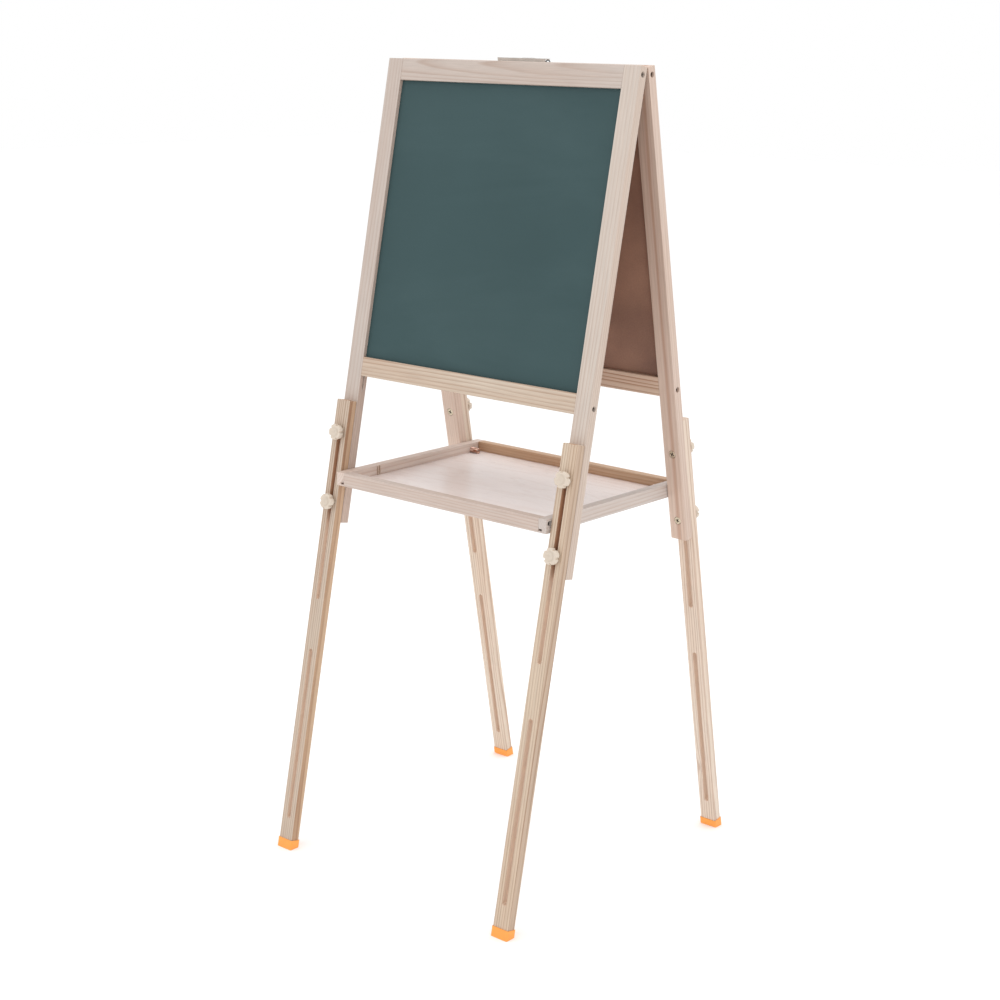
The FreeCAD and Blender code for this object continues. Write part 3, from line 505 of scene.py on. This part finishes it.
def mergedCopy(node, matrix=None):
    # a copy of the node's mesh with its loose triangles joined into whole faces, left in edit mode
    piece = nodes[node].copy()
    piece.data = nodes[node].data.copy()
    bpy.context.scene.collection.objects.link(piece)
    for key in list(piece.keys()):
        del piece[key]
    piece.parent = None
    piece.matrix_world = Matrix.Identity(4)
    if matrix is not None:
        piece.data.transform(matrix)
    editMode(piece, "VERT")
    bpy.ops.mesh.select_all(action="SELECT")
    bpy.ops.mesh.remove_doubles(threshold=copying["merge"])
    bpy.ops.mesh.dissolve_limited(angle_limit=math.radians(copying["flat"]))
    return piece


def easedCopy(node, width):
    # a copy with the long edges of its box rounded over
    piece = mergedCopy(node, frameOf(node).inverted())
    low, high = localBox(node)

    def onBoxEdge(edge):
        # True when both ends lie on the same two sides of the box
        sides = 0
        for axis in range(3):
            for level in (low[axis], high[axis]):
                if all(abs(v.co[axis] - level) < copying["near"] for v in edge.verts):
                    sides += 1
        return sides >= 2 and edge.calc_length() > easing["share"] * edgeSpan(edge)

    def edgeSpan(edge):
        line = edge.verts[1].co - edge.verts[0].co
        axis = max(range(3), key=lambda i: abs(line[i]))
        return high[axis] - low[axis]

    pick(piece, "EDGE", onBoxEdge)
    bpy.ops.mesh.bevel(offset=width, segments=easing["segments"], affect="EDGES", clamp_overlap=False)
    objectMode()
    return piece


def woodPiece(node, look, along, pith, seed, width=easing["lath"], **extra):
    piece = easedCopy(node, width)
    smooth(piece, 40)
    material = woodMaterial(node + "_wood", look, node, along, pith, seed, **extra)
    finishPiece(piece, node + "_lath", node, material, frameOf(node))


def makeWoodwork():
    # every lath has its own pith, tilt and tone, so no two show the same figure; the tints given for the
    # narrow sides are painted shade
    woodPiece("front_stile_left", framePine, "Z", (0.030, 0.055), 3.1, tilt=(0.012, 0.004),
              tint=(0.78, 0.79, 0.80), edgeTint=(0.97, 0.90, 0.86))
    woodPiece("front_stile_right", framePine, "Z", (-0.044, 0.060), 7.7, tilt=(-0.010, 0.006),
              tint=(0.86, 0.88, 0.88), edgeTint=(1.0, 0.96, 0.93))
    woodPiece("rear_stile_left", framePine, "Z", (0.050, -0.040), 12.4, tilt=(0.009, -0.006),
              tint=(1.0, 0.93, 0.88))
    # painted shade: this lath's tint darkens and browns it for the shade and the brown light bounced from the
    # boards onto its inner face
    woodPiece("rear_stile_right", framePine, "Z", (-0.036, -0.050), 16.2, tilt=(-0.008, -0.004),
              tint=(0.92, 0.84, 0.79), edgeTint=(1.0, 1.03, 1.05),
              streak={"across": -0.002, "width": 0.0045, "strength": 0.55})
    woodPiece("front_top_rail", framePine, "X", (0.012, 0.030), 21.9, tilt=(0.030, 0.016),
              tint=(0.78, 0.79, 0.80))
    woodPiece("rear_top_rail", framePine, "X", (-0.020, 0.040), 25.3, tilt=(-0.020, 0.010),
              tint=(0.88, 0.88, 0.88))
    woodPiece("front_bottom_rail", stripedPine, "X", (0.050, 0.020), 30.8, tilt=(0.004, 0.003),
              tint=(0.89, 0.95, 0.97))
    woodPiece("rear_bottom_rail", stripedPine, "X", (-0.055, 0.018), 34.6, tilt=(0.003, -0.003))
    slotHalf = easing["slotHalf"]
    woodPiece("front_leg_left", legPine, "Z", (0.062, 0.020), 41.5, tilt=(0.003, 0.003), slotHalf=slotHalf,
              tint=(0.80, 0.80, 0.80), edgeTint=(0.95, 0.80, 0.66))
    woodPiece("front_leg_right", legPine, "Z", (-0.058, 0.024), 45.9, tilt=(-0.003, 0.004), slotHalf=slotHalf,
              tint=(0.88, 0.87, 0.84), edgeTint=(0.85, 0.80, 0.78))
    woodPiece("rear_leg_left", legPine, "Z", (-0.050, -0.026), 52.2, tilt=(0.004, -0.003), slotHalf=slotHalf,
              tint=(1.02, 1.04, 1.06))
    woodPiece("rear_leg_right", legPine, "Z", (0.056, -0.022), 57.4, tilt=(0.004, 0.003), slotHalf=slotHalf,
              tint=(1.02, 1.04, 1.08), knot={"across": 0.006, "along": -0.262, "size": 0.0045, "share": 0.12})
    woodPiece("tray_left_rail", trayPine, "Y", (0.040, 0.030), 61.3, easing["tray"], tilt=(0.006, 0.003))
    woodPiece("tray_right_rail", trayPine, "Y", (-0.040, 0.030), 66.1, easing["tray"], tilt=(-0.006, 0.004),
              tint=(0.87, 0.94, 0.99))
    woodPiece("tray_front_rail", trayPine, "X", (0.036, 0.034), 71.8, easing["tray"], tilt=(0.006, 0.008),
              tint=(0.86, 0.86, 0.86))
    # the rear rail's darker orange pine and its tint are painted warm shade on the face seen inside the tray
    woodPiece("tray_rear_rail", shadedAmberPine, "X", (-0.034, 0.036), 76.4, easing["tray"], tilt=(-0.006, 0.006),
              tint=(0.86, 0.82, 0.76))


plyLook = {"face": linear(250, 241, 238), "cloud": linear(246, 233, 228), "figure": linear(220, 198, 188)}


def plywoodMaterial():
    # rotary-cut face veneer: broad soft figure and fine pores along the width
    shader = Shader("plywoodFace")
    place = shader.objectPlace()
    wide = shader.noise(shader.mapped(place, scale=(2.0, 14, 14)), 1.0, 3.0, 0.6, 1.2)
    figure = shader.math("FRACT", shader.times(wide, 6.0))
    lines = shader.ramp(figure, [(0.0, 0.1), (0.5, 0.3), (0.82, 1.0), (1.0, 0.1)])
    pores = shader.noise(shader.mapped(place, scale=(60, 1900, 1900)), 1.0, 3.0, 0.65)
    cloud = shader.noise(place, 6.0, 2.0)
    base = shader.mix(shader.ramp(cloud, [(0.3, 0.0), (0.7, 1.0)]), plyLook["face"], plyLook["cloud"])
    colour = shader.mix(shader.times(lines, 0.30), base, plyLook["figure"])
    colour = shader.mix(1.0, colour, shader.ramp(pores, [(0.3, 0.86), (0.55, 1.0)]), "MULTIPLY")
    roughness = shader.math("MULTIPLY_ADD", pores, 0.16, 0.22)
    shader.bump(pores, 0.12, 0.00006)
    return shader.finish(colour, roughness, **{"Specular IOR Level": 0.5})


def makeBoards():
    for node, material in (("chalkboard", chalkboardMaterial()), ("whiteboard", whiteboardMaterial()),
                           ("tray_floor", plywoodMaterial())):
        piece = easedCopy(node, easing["board"])
        smooth(piece, 40)
        finishPiece(piece, node + "_panel", node, material, frameOf(node))


footLook = {"wall": 0.0016, "socket": 0.0095, "corner": 0.0022, "rim": 0.0005, "near": 0.00002}


def makeFoot(node):
    # a shoe that is thicker than its leg, rounded at the corners and cut level with the floor
    low, high = localBox(node)
    matrix = frameOf(node)
    middle = (low + high) / 2
    bpy.ops.mesh.primitive_cube_add(size=1, location=middle)
    shoe = bpy.context.object
    shoe.scale = high - low
    activate(shoe)
    bpy.ops.object.transform_apply(location=True, rotation=False, scale=True)
    editMode(shoe, "EDGE")
    upright = lambda e: abs(e.verts[0].co.z - e.verts[1].co.z) > 0.5 * (high.z - low.z)
    pick(shoe, "EDGE", upright)
    bpy.ops.mesh.bevel(offset=footLook["corner"], segments=5, affect="EDGES")
    back = matrix.inverted()
    floorPoint = back @ Vector((0, 0, 0))
    floorNormal = (back.to_3x3() @ Vector((0, 0, 1))).normalized()
    bpy.ops.mesh.select_all(action="SELECT")
    bpy.ops.mesh.bisect(plane_co=floorPoint, plane_no=floorNormal, use_fill=True, clear_inner=True)
    top = lambda f: f.normal.z > 0.9 and f.calc_center_median().z > high.z - 0.0005
    pick(shoe, "FACE", top)
    bpy.ops.mesh.inset(thickness=footLook["wall"])
    bpy.ops.mesh.extrude_region_move(TRANSFORM_OT_translate={"value": (0, 0, -footLook["socket"])})
    pick(shoe, "EDGE", lambda e: all(abs(v.co.z - high.z) < footLook["near"] for v in e.verts))
    bpy.ops.mesh.bevel(offset=footLook["rim"], segments=2, affect="EDGES")
    onFloor = lambda e: all(abs((v.co - floorPoint).dot(floorNormal)) < footLook["near"] for v in e.verts)
    pick(shoe, "EDGE", onFloor)
    bpy.ops.mesh.bevel(offset=footLook["rim"], segments=2, affect="EDGES")
    objectMode()
    for corner in shoe.data.vertices:               # the rounding's corners are kept above the floor
        corner.co -= min(0.0, (corner.co - floorPoint).dot(floorNormal)) * floorNormal
    smooth(shoe, 40)
    finishPiece(shoe, node + "_shoe", node, orangePlastic, matrix)


knobLook = {"lobes": 5, "perLobe": 6, "core": 0.0098, "pull": 0.0032, "gap": 1,
            "thick": 0.0080, "edge": 0.0014, "collar": 0.0068, "collarTall": 0.0040,
            "collarEdge": 0.0005, "seat": 0.0030,
            "boss": 0.0044, "dish": 0.0008, "step": 0.0006, "rim": 0.0012, "crown": 0.0002}


def makeKnobShape():
    look = knobLook
    sides = look["lobes"] * look["perLobe"]
    bpy.ops.mesh.primitive_cylinder_add(vertices=sides, radius=look["core"], depth=look["thick"],
                                        location=(0, 0, look["collarTall"] + look["thick"] / 2))
    knob = bpy.context.object
    activate(knob)
    bpy.ops.object.transform_apply(location=True)
    editMode(knob)

    def onLobe(face):
        centre = face.calc_center_median()
        step = math.atan2(centre.y, centre.x) / (2 * math.pi) * sides
        return abs(face.normal.z) < 0.5 and round(step) % look["perLobe"] < look["perLobe"] - look["gap"]

    pick(knob, "FACE", onLobe)
    bpy.ops.mesh.extrude_region_shrink_fatten(TRANSFORM_OT_shrink_fatten={"value": look["pull"]})
    flat = lambda f: abs(f.normal.z) > 0.9
    pick(knob, "FACE", flat)
    bpy.ops.mesh.region_to_loop()
    bpy.ops.mesh.bevel(offset=look["edge"], segments=2, affect="EDGES")
    top = look["collarTall"] + look["thick"]
    whole = lambda f, level: len(f.verts) > 6 and abs(f.calc_center_median().z - level) < 0.0002
    pick(knob, "FACE", lambda f: f.normal.z > 0.9 and whole(f, top))
    bpy.ops.mesh.inset(thickness=look["core"] - look["boss"] - look["rim"])
    bpy.ops.mesh.inset(thickness=look["step"], depth=-look["dish"])
    bpy.ops.mesh.inset(thickness=look["step"])
    bpy.ops.mesh.inset(thickness=look["collarEdge"], depth=look["dish"] * 1.6)
    bpy.ops.mesh.inset(thickness=look["rim"], depth=look["crown"])
    pick(knob, "FACE", lambda f: f.normal.z < -0.9 and whole(f, look["collarTall"]))
    bpy.ops.mesh.inset(thickness=look["core"] - look["collar"])
    drop = -look["collarTall"] + look["collarEdge"]
    bpy.ops.mesh.extrude_region_move(TRANSFORM_OT_translate={"value": (0, 0, drop)})
    bpy.ops.mesh.inset(thickness=look["collarEdge"], depth=look["collarEdge"])
    bpy.ops.mesh.inset(thickness=look["seat"])
    objectMode()
    applyModifier(knob, "SUBSURF", levels=2, render_levels=2)
    smooth(knob, 50, weighted=False)
    return knob


# how far round each knob was left when it was last tightened
knobTurn = {"front_left_upper_knob": 0.3, "front_left_lower_knob": 0.9, "front_right_upper_knob": 0.6,
            "front_right_lower_knob": 0.1, "rear_left_upper_knob": 1.0, "rear_left_lower_knob": 0.45,
            "rear_right_upper_knob": 0.75, "rear_right_lower_knob": 0.2}


def makeKnobs():
    model = makeKnobShape()
    for side in ("front", "rear"):
        for hand in ("left", "right"):
            for level in ("upper", "lower"):
                node = "%s_%s_%s_knob" % (side, hand, level)
                joint = joints[node + "_turn"]
                axis = Vector(joint["axis"]).normalized()
                turn = Vector((0, 0, 1)).rotation_difference(axis).to_matrix().to_4x4()
                turns = Matrix.Rotation(knobTurn[node], 4, "Z")
                copy = model.copy()
                copy.data = model.data.copy()
                bpy.context.scene.collection.objects.link(copy)
                finishPiece(copy, node + "_grip", node, ivoryPlastic,
                            Matrix.Translation(Vector(joint["pos_m"])) @ turn @ turns)
    bpy.data.objects.remove(model)


def blankPoint(place):
    # a mesh of one vertex, left in edit mode with that vertex selected
    bpy.ops.mesh.primitive_plane_add(size=0.001)
    piece = bpy.context.object
    editMode(piece, "VERT")
    bpy.ops.mesh.select_all(action="SELECT")
    bpy.ops.mesh.merge(type="CENTER")
    bpy.ops.transform.translate(value=place)
    return piece


def turnedShape(profile, sides=32):
    # a piece turned round z, from (radius, height) points that start and end on the axis
    piece = blankPoint((profile[0][0], 0, profile[0][1]))
    for before, after in zip(profile, profile[1:]):
        step = (after[0] - before[0], 0, after[1] - before[1])
        bpy.ops.mesh.extrude_region_move(TRANSFORM_OT_translate={"value": step})
    bpy.ops.mesh.select_all(action="SELECT")
    bpy.ops.mesh.spin(steps=sides, angle=2 * math.pi, center=(0, 0, 0), axis=(0, 0, 1))
    bpy.ops.mesh.select_all(action="SELECT")
    bpy.ops.mesh.remove_doubles(threshold=0.000002)
    bpy.ops.mesh.normals_make_consistent(inside=False)
    objectMode()
    return piece


def cutBlade(piece, sizes, turn, share=0.75):
    # cuts a slot with sloping sides across the z axis into the piece's face at z = 0
    bpy.ops.mesh.primitive_cube_add(size=1)
    blade = bpy.context.object
    blade.scale = (sizes[0], sizes[1], 2 * sizes[2])
    blade.rotation_euler = (0, 0, turn)
    activate(blade)
    bpy.ops.object.transform_apply(rotation=True, scale=True)
    editMode(blade)
    pick(blade, "FACE", lambda f: f.normal.z > 0.9)
    bpy.ops.transform.resize(value=(share, share, 1), center_override=(0, 0, sizes[2]))
    objectMode()
    applyModifier(piece, "BOOLEAN", object=blade, operation="DIFFERENCE", solver="EXACT")
    bpy.data.objects.remove(blade)


def bentSheet(path, left, right, thick, bend=0.0014, steps=4):
    # a strip of sheet that follows (y, z) points, rounded at each bend, from left to right across
    points = [path[0]]
    for before, corner, after in zip(path, path[1:], path[2:]):
        corner = Vector(corner)
        toBefore = (Vector(before) - corner).normalized() * bend
        toAfter = (Vector(after) - corner).normalized() * bend
        for step in range(steps + 1):
            share = step / steps
            points.append(tuple(corner + toBefore * (1 - share) ** 2 + toAfter * share ** 2))
    points.append(path[-1])
    piece = blankPoint((left, points[0][0], points[0][1]))
    bpy.ops.mesh.extrude_region_move(TRANSFORM_OT_translate={"value": (right - left, 0, 0)})
    bpy.ops.mesh.select_all(action="SELECT")
    bpy.ops.mesh.select_mode(type="EDGE")
    for before, after in zip(points, points[1:]):
        move = (0, after[0] - before[0], after[1] - before[1])
        bpy.ops.mesh.extrude_region_move(TRANSFORM_OT_translate={"value": move})
    objectMode()
    return piece


def joinPieces(pieces):
    deselectAll()
    for piece in pieces:
        piece.select_set(True)
    bpy.context.view_layer.objects.active = pieces[0]
    bpy.ops.object.join()
    return pieces[0]


def softCopy(node, width):
    # a copy with every crisp edge rounded a little
    piece = mergedCopy(node)
    objectMode()
    applyModifier(piece, "BEVEL", width=width, segments=2, limit_method="ANGLE", angle_limit=math.radians(32))
    smooth(piece, 40)
    return piece


def bodyBox(node):
    # lowest and highest corner of a node as it stands in the easel
    points = [v.co for v in nodes[node].data.vertices]
    return [Vector(edge(p[i] for p in points) for i in range(3)) for edge in (min, max)]


boltLook = {"rim": 0.0008, "dome": 0.0002, "recess": 0.0014, "blade": 0.0019, "shank": 0.0030,
            "pitch": 0.0010, "groove": 0.0003, "threaded": 0.014, "legHead": 0.0022, "pivotHead": 0.0026}


def boltProfile(headRadius, headTall, length):
    # domed head whose top is at z = 0, a plain shank and a threaded end
    look = boltLook
    shank = look["shank"]
    profile = [(0, 0), (headRadius * 0.55, 0.00004), (headRadius - look["rim"], look["dome"]),
               (headRadius, look["dome"] + look["rim"]), (headRadius, headTall - look["rim"] / 2),
               (headRadius - look["rim"] / 2, headTall), (shank, headTall)]
    start = length - look["threaded"]
    for turn in range(int(look["threaded"] / look["pitch"]) - 1):
        at = start + turn * look["pitch"]
        profile += [(shank, at), (shank - look["groove"], at + look["pitch"] / 2)]
    profile += [(shank, length - look["pitch"]), (shank - look["groove"] * 2, length), (0, length)]
    return profile


def makeBolt(headRadius, headTall, length):
    bolt = turnedShape(boltProfile(headRadius, headTall, length), 36)
    for turn in (0.4, 0.4 + math.pi / 2):
        cutBlade(bolt, (headRadius * 1.3, boltLook["blade"], boltLook["recess"]), turn)
    return bolt


def makeLegBolts(side, hand):
    node = "%s_%s_leg_bolts" % (side, hand)
    low, high = localBox(node)
    radius = (high.x - low.x) / 2
    into = Matrix.Rotation(math.pi / 2, 4, "X")
    bolts = []
    for height in (low.z + radius, high.z - radius):
        bolt = makeBolt(radius, boltLook["legHead"], high.y - low.y)
        bolt.data.transform(Matrix.Translation(((low.x + high.x) / 2, high.y, height)) @ into)
        bolts.append(bolt)
    bolts = joinPieces(bolts)
    smooth(bolts, 40)
    finishPiece(bolts, node + "_pair", node, boltSteel[side], frameOf(node))


def outward(hand, node):
    # place and turn of a piece that points outward through a tray side rail, its head inside
    xs = [abs(v.co.x) for v in nodes[node].data.vertices if v.co.x * hand > 0]
    low, high = bodyBox(node)
    place = Vector((hand * min(xs), (low.y + high.y) / 2, (low.z + high.z) / 2))
    turn = Matrix.Rotation(hand * math.pi / 2, 4, "Y")
    return Matrix.Translation(place) @ turn, max(xs) - min(xs), (high.z - low.z) / 2


def makePivotBolts():
    node = "tray_pivot_bolts"
    bolts = []
    for hand in (-1, 1):
        matrix, length, radius = outward(hand, node)
        bolt = makeBolt(radius, boltLook["pivotHead"], length)
        bolt.data.transform(matrix)
        bolts.append(bolt)
    bolts = joinPieces(bolts)
    smooth(bolts, 40)
    finishPiece(bolts, node + "_pair", node, zincSteel)


thumbLook = {"neck": 0.0006, "edge": 0.0007, "ribs": 5, "ribDeep": 0.00035, "slot": 0.0030,
             "slotDeep": 0.0090, "grip": 0.0170, "shank": 0.0030}


def makeThumbScrew(name, hand):
    # forked grip with turned ribs near its foot
    look = thumbLook
    node = "tray_thumb_screw_" + name
    matrix, length, radius = outward(hand, node)
    profile = [(0, 0), (radius - look["edge"], 0), (radius, look["edge"]), (radius, look["slotDeep"])]
    ribRun = (look["grip"] - look["slotDeep"] - look["edge"]) / look["ribs"]
    for rib in range(look["ribs"]):
        at = look["slotDeep"] + rib * ribRun
        waist = radius - look["ribDeep"]
        profile += [(waist, at + ribRun * 0.3), (waist, at + ribRun * 0.7), (radius, at + ribRun)]
    profile += [(radius - look["neck"], look["grip"]), (look["shank"], look["grip"]),
                (look["shank"], length - look["edge"]), (look["shank"] - look["edge"], length), (0, length)]
    screw = turnedShape(profile, 40)
    cutBlade(screw, (radius * 3, look["slot"], look["slotDeep"]), 0.0, share=1.0)
    screw.data.transform(Matrix.Rotation(math.pi / 2, 4, "Z"))
    smooth(screw, 40)
    finishPiece(screw, node + "_grip", node, warmReflectionSteel, matrix)


clipLook = {"sheet": 0.0010, "edge": 0.00025, "tabHalf": 0.012, "tabCurl": 0.0016, "earPlace": 0.0135,
            "earReach": 0.0026, "jawAbove": 0.0030, "lipRise": 0.0006, "tabBelow": 0.0012}


def makeClipLever():
    # one bent sheet: a lip on the paper, a tall jaw and a curled thumb tab, with two ears at the pin
    look = clipLook
    node = "clip_lever"
    low, high = localBox(node)
    pin = frameOf(node).inverted() @ Vector(joints["clip_open"]["pos_m"])
    middle = (low.x + high.x) / 2
    face = low.y + look["sheet"] / 2
    jawTop = pin.z + look["jawAbove"]
    foot = low.z + look["sheet"] / 2
    path = [(high.y - 0.0002, foot + look["lipRise"]), (high.y - 0.0012, foot), (face, foot), (face, jawTop)]
    lever = bentSheet(path, low.x, high.x, look["sheet"], bend=0.0009)
    editMode(lever, "EDGE")
    for across in (middle - look["tabHalf"], middle + look["tabHalf"]):
        bpy.ops.mesh.select_all(action="SELECT")
        bpy.ops.mesh.bisect(plane_co=(across, 0, 0), plane_no=(1, 0, 0))
    tabEdge = lambda e: all(v.co.z > jawTop - 0.00001 and abs(v.co.x - middle) < look["tabHalf"] + 0.00001
                            for v in e.verts)
    pick(lever, "EDGE", tabEdge)
    rise = (high.z - look["tabBelow"] - jawTop) / 5
    for step in range(5):
        curl = look["tabCurl"] * (2 * step + 1) / 25
        bpy.ops.mesh.extrude_region_move(TRANSFORM_OT_translate={"value": (0, -curl, rise)})
    bpy.ops.mesh.select_all(action="SELECT")
    bpy.ops.mesh.normals_make_consistent(inside=False)
    objectMode()
    applyModifier(lever, "SOLIDIFY", thickness=look["sheet"], offset=0.0, use_even_offset=True)
    applyModifier(lever, "BEVEL", width=look["edge"], segments=2, limit_method="ANGLE",
                  angle_limit=math.radians(50))
    pieces = [lever]
    for step in (-1, 1):
        bpy.ops.mesh.primitive_cylinder_add(vertices=28, radius=look["earReach"], depth=look["sheet"],
                                            location=(middle + step * look["earPlace"], pin.y, pin.z),
                                            rotation=(0, math.pi / 2, 0))
        ear = bpy.context.object
        activate(ear)
        bpy.ops.object.transform_apply(location=True, rotation=True)
        editMode(ear)
        pick(ear, "FACE", lambda f: f.normal.y < -0.05)
        reach = pin.y - look["earReach"] - face
        bpy.ops.mesh.extrude_region_move(TRANSFORM_OT_translate={"value": (0, -reach, 0)})
        objectMode()
        pieces.append(ear)
    lever = joinPieces(pieces)
    smooth(lever, 40)
    finishPiece(lever, node + "_sheet", node, nickelSteel, frameOf(node))


springLook = {"wire": 0.0011, "turns": 8.5, "sides": 8, "perTurn": 20, "armStart": 0.003, "armRest": 0.0075,
              "toLever": 0.0004, "toPlate": 0.0027}


def makeClipSpring():
    # torsion spring round the pin: close coils and two arms, one on the lever and one on the plate
    look = springLook
    node = "clip_spring"
    low, high = localBox(node)
    wire = look["wire"]
    radius = (high.z - low.z) / 2 - wire / 2
    run = high.x - low.x - wire
    bpy.ops.mesh.primitive_circle_add(vertices=look["sides"], radius=wire / 2, location=(radius, 0, 0),
                                      rotation=(math.pi / 2, 0, 0))
    coil = bpy.context.object
    activate(coil)
    bpy.ops.object.transform_apply(location=True, rotation=True)
    turns = look["turns"]
    applyModifier(coil, "SCREW", angle=2 * math.pi * turns, screw_offset=run, iterations=1,
                  steps=int(look["perTurn"] * turns), render_steps=int(look["perTurn"] * turns))
    editMode(coil, "EDGE")
    for height, aside in ((0.0, look["toLever"]), (run, -look["toPlate"])):
        ended = lambda e: e.is_boundary and all(abs(v.co.z - height) < wire for v in e.verts)
        pick(coil, "EDGE", ended)
        bpy.ops.mesh.extrude_region_move(TRANSFORM_OT_translate={"value": (0, -look["armStart"], 0)})
        bpy.ops.mesh.extrude_region_move(TRANSFORM_OT_translate={"value": (aside, -look["armRest"], 0)})
        bpy.ops.mesh.edge_face_add()
    bpy.ops.mesh.select_all(action="SELECT")
    bpy.ops.mesh.normals_make_consistent(inside=False)
    objectMode()
    smooth(coil, 60, weighted=False)
    middle = (low + high) / 2
    turn = Matrix(((0, 0, -1), (-1, 0, 0), (0, 1, 0))).to_4x4()
    place = Matrix.Translation((middle.x + run / 2, middle.y, middle.z))
    finishPiece(coil, node + "_coil", node, nickelSteel, frameOf(node) @ place @ turn)


def makeClipRivets():
    node = "clip_rivets"
    low, high = localBox(node)
    radius = (high.z - low.z) / 2
    tall = (high.y - low.y) / 2
    profile = [(0, 0), (radius * 0.5, tall * 0.1), (radius * 0.8, tall * 0.35), (radius, tall * 0.8),
               (radius, tall), (radius / 2, tall), (radius / 2, high.y - low.y), (0, high.y - low.y)]
    rivets = []
    for across in (low.x + radius, high.x - radius):
        rivet = turnedShape(profile, 28)
        place = Matrix.Translation((across, low.y, (low.z + high.z) / 2))
        rivet.data.transform(place @ Matrix.Rotation(-math.pi / 2, 4, "X"))
        rivets.append(rivet)
    rivets = joinPieces(rivets)
    smooth(rivets, 50)
    finishPiece(rivets, node + "_pair", node, nickelSteel, frameOf(node))


def makeClipPin():
    node = "clip_pin"
    low, high = localBox(node)
    radius = (high.z - low.z) / 2
    length = high.x - low.x
    edge = radius * 0.25
    profile = [(0, 0), (radius - edge, 0), (radius, edge), (radius, length - edge),
               (radius - edge, length), (0, length)]
    pin = turnedShape(profile, 24)
    place = Matrix.Translation((low.x, (low.y + high.y) / 2, (low.z + high.z) / 2))
    smooth(pin, 40)
    across = Matrix.Rotation(math.pi / 2, 4, "Y")
    finishPiece(pin, node + "_rod", node, nickelSteel, frameOf(node) @ place @ across)


def makeClipLoop():
    node = "clip_end_loop"
    low, high = localBox(node)
    outer = (high.z - low.z) / 2
    thick = (high.y - low.y) / 2
    middle = (low + high) / 2
    bpy.ops.mesh.primitive_torus_add(major_radius=outer - thick * 0.85, minor_radius=thick * 0.85,
                                     major_segments=36, minor_segments=14)
    loop = bpy.context.object
    activate(loop)
    smooth(loop, 60, weighted=False)
    place = Matrix.Translation(middle) @ Matrix.Rotation(math.pi / 2, 4, "X")
    finishPiece(loop, node + "_ring", node, blackRubber, frameOf(node) @ place)


softened = {"clip_base": (0.00025, nickelSteel), "tray_clip": (0.0002, brassSteel),
            "rear_stile_inserts": (0.0003, zincSteel), "front_frame_screws": (0.0001, screwSteel),
            "rear_frame_screws": (0.0001, screwSteel), "tray_screws": (0.0001, screwSteel),
            "front_hinge_screws": (0.0001, nickelSteel), "rear_hinge_screws": (0.0001, nickelSteel)}


def makeHardware():
    for side in ("front", "rear"):
        for hand in ("left", "right"):
            makeLegBolts(side, hand)
            softened["hinge_%s_%s_leaf" % (hand, side)] = (0.0002, nickelSteel)
            softened["hinge_%s_pin" % hand] = (0.0002, nickelSteel)
    makePivotBolts()
    makeThumbScrew("left", -1)
    makeThumbScrew("right", 1)
    makeClipLever()
    makeClipSpring()
    makeClipRivets()
    makeClipPin()
    makeClipLoop()
    for node, (width, material) in softened.items():
        piece = softCopy(node, width)
        finishPiece(piece, node + "_metal", node, material)


def finishNodes():
    # each hidden CAD node gets the material of the piece that stands for it
    for piece in list(bpy.data.objects):
        for name in piece.get("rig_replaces", []):
            nodes[name].data.materials.clear()
            nodes[name].data.materials.append(piece.data.materials[0])
    bare = [name for name, node in nodes.items() if not node.data.materials]
    print("nodes without a piece of their own:", bare)


studio = {"floor": 30.0, "floorTone": 0.95, "floorGlow": 0.06, "world": 1.0,
          "key": {"place": (-2.6, -3.2, 3.6), "size": 3.2, "power": 12},
          "fill": {"place": (3.6, -1.4, 2.4), "size": 3.0, "power": 8},
          "top": {"place": (0.0, 0.5, 4.6), "size": 3.5, "power": 40}}


def makeStudio():
    bpy.ops.mesh.primitive_grid_add(x_subdivisions=4, y_subdivisions=4, size=studio["floor"])
    floor = bpy.context.object
    floor.name = "studioFloor"
    shader = Shader("paleFloor")
    slow = shader.noise(shader.objectPlace(), 0.7, 2.0)
    tone = studio["floorTone"]
    colour = shader.ramp(slow, [(0.3, tone), (0.7, tone * 1.02)])
    floor.data.materials.append(shader.finish(colour, 0.85, **{
        "Specular IOR Level": 0.1, "Emission Color": (1, 1, 1, 1), "Emission Strength": studio["floorGlow"]}))
    world = bpy.data.worlds.new("studioLight")
    bpy.context.scene.world = world
    world.use_nodes = True
    back = world.node_tree.nodes["Background"]
    back.inputs["Color"].default_value = (1, 1, 1, 1)
    back.inputs["Strength"].default_value = studio["world"]
    target = Vector((0, 0, 0.65))
    for name in ("key", "fill", "top"):
        light = bpy.data.lights.new(name + "Light", "AREA")
        light.shape = "DISK"
        light.size = studio[name]["size"]
        light.energy = studio[name]["power"]
        lamp = bpy.data.objects.new(name + "Light", light)
        lamp.location = studio[name]["place"]
        lamp.rotation_euler = (target - lamp.location).to_track_quat("-Z", "Y").to_euler()
        bpy.context.scene.collection.objects.link(lamp)
    bpy.context.scene.view_settings.view_transform = "Standard"


deselectAll()
makeCamera()
makeStudio()
makeWoodwork()
makeBoards()
print("stage 3: woodwork and boards made")
for side in ("front", "rear"):
    for hand in ("left", "right"):
        makeFoot("%s_foot_%s" % (side, hand))
makeKnobs()
print("stage 4: feet and knobs made")
makeHardware()
finishNodes()
print("stage 5: hardware made")
deselectAll()
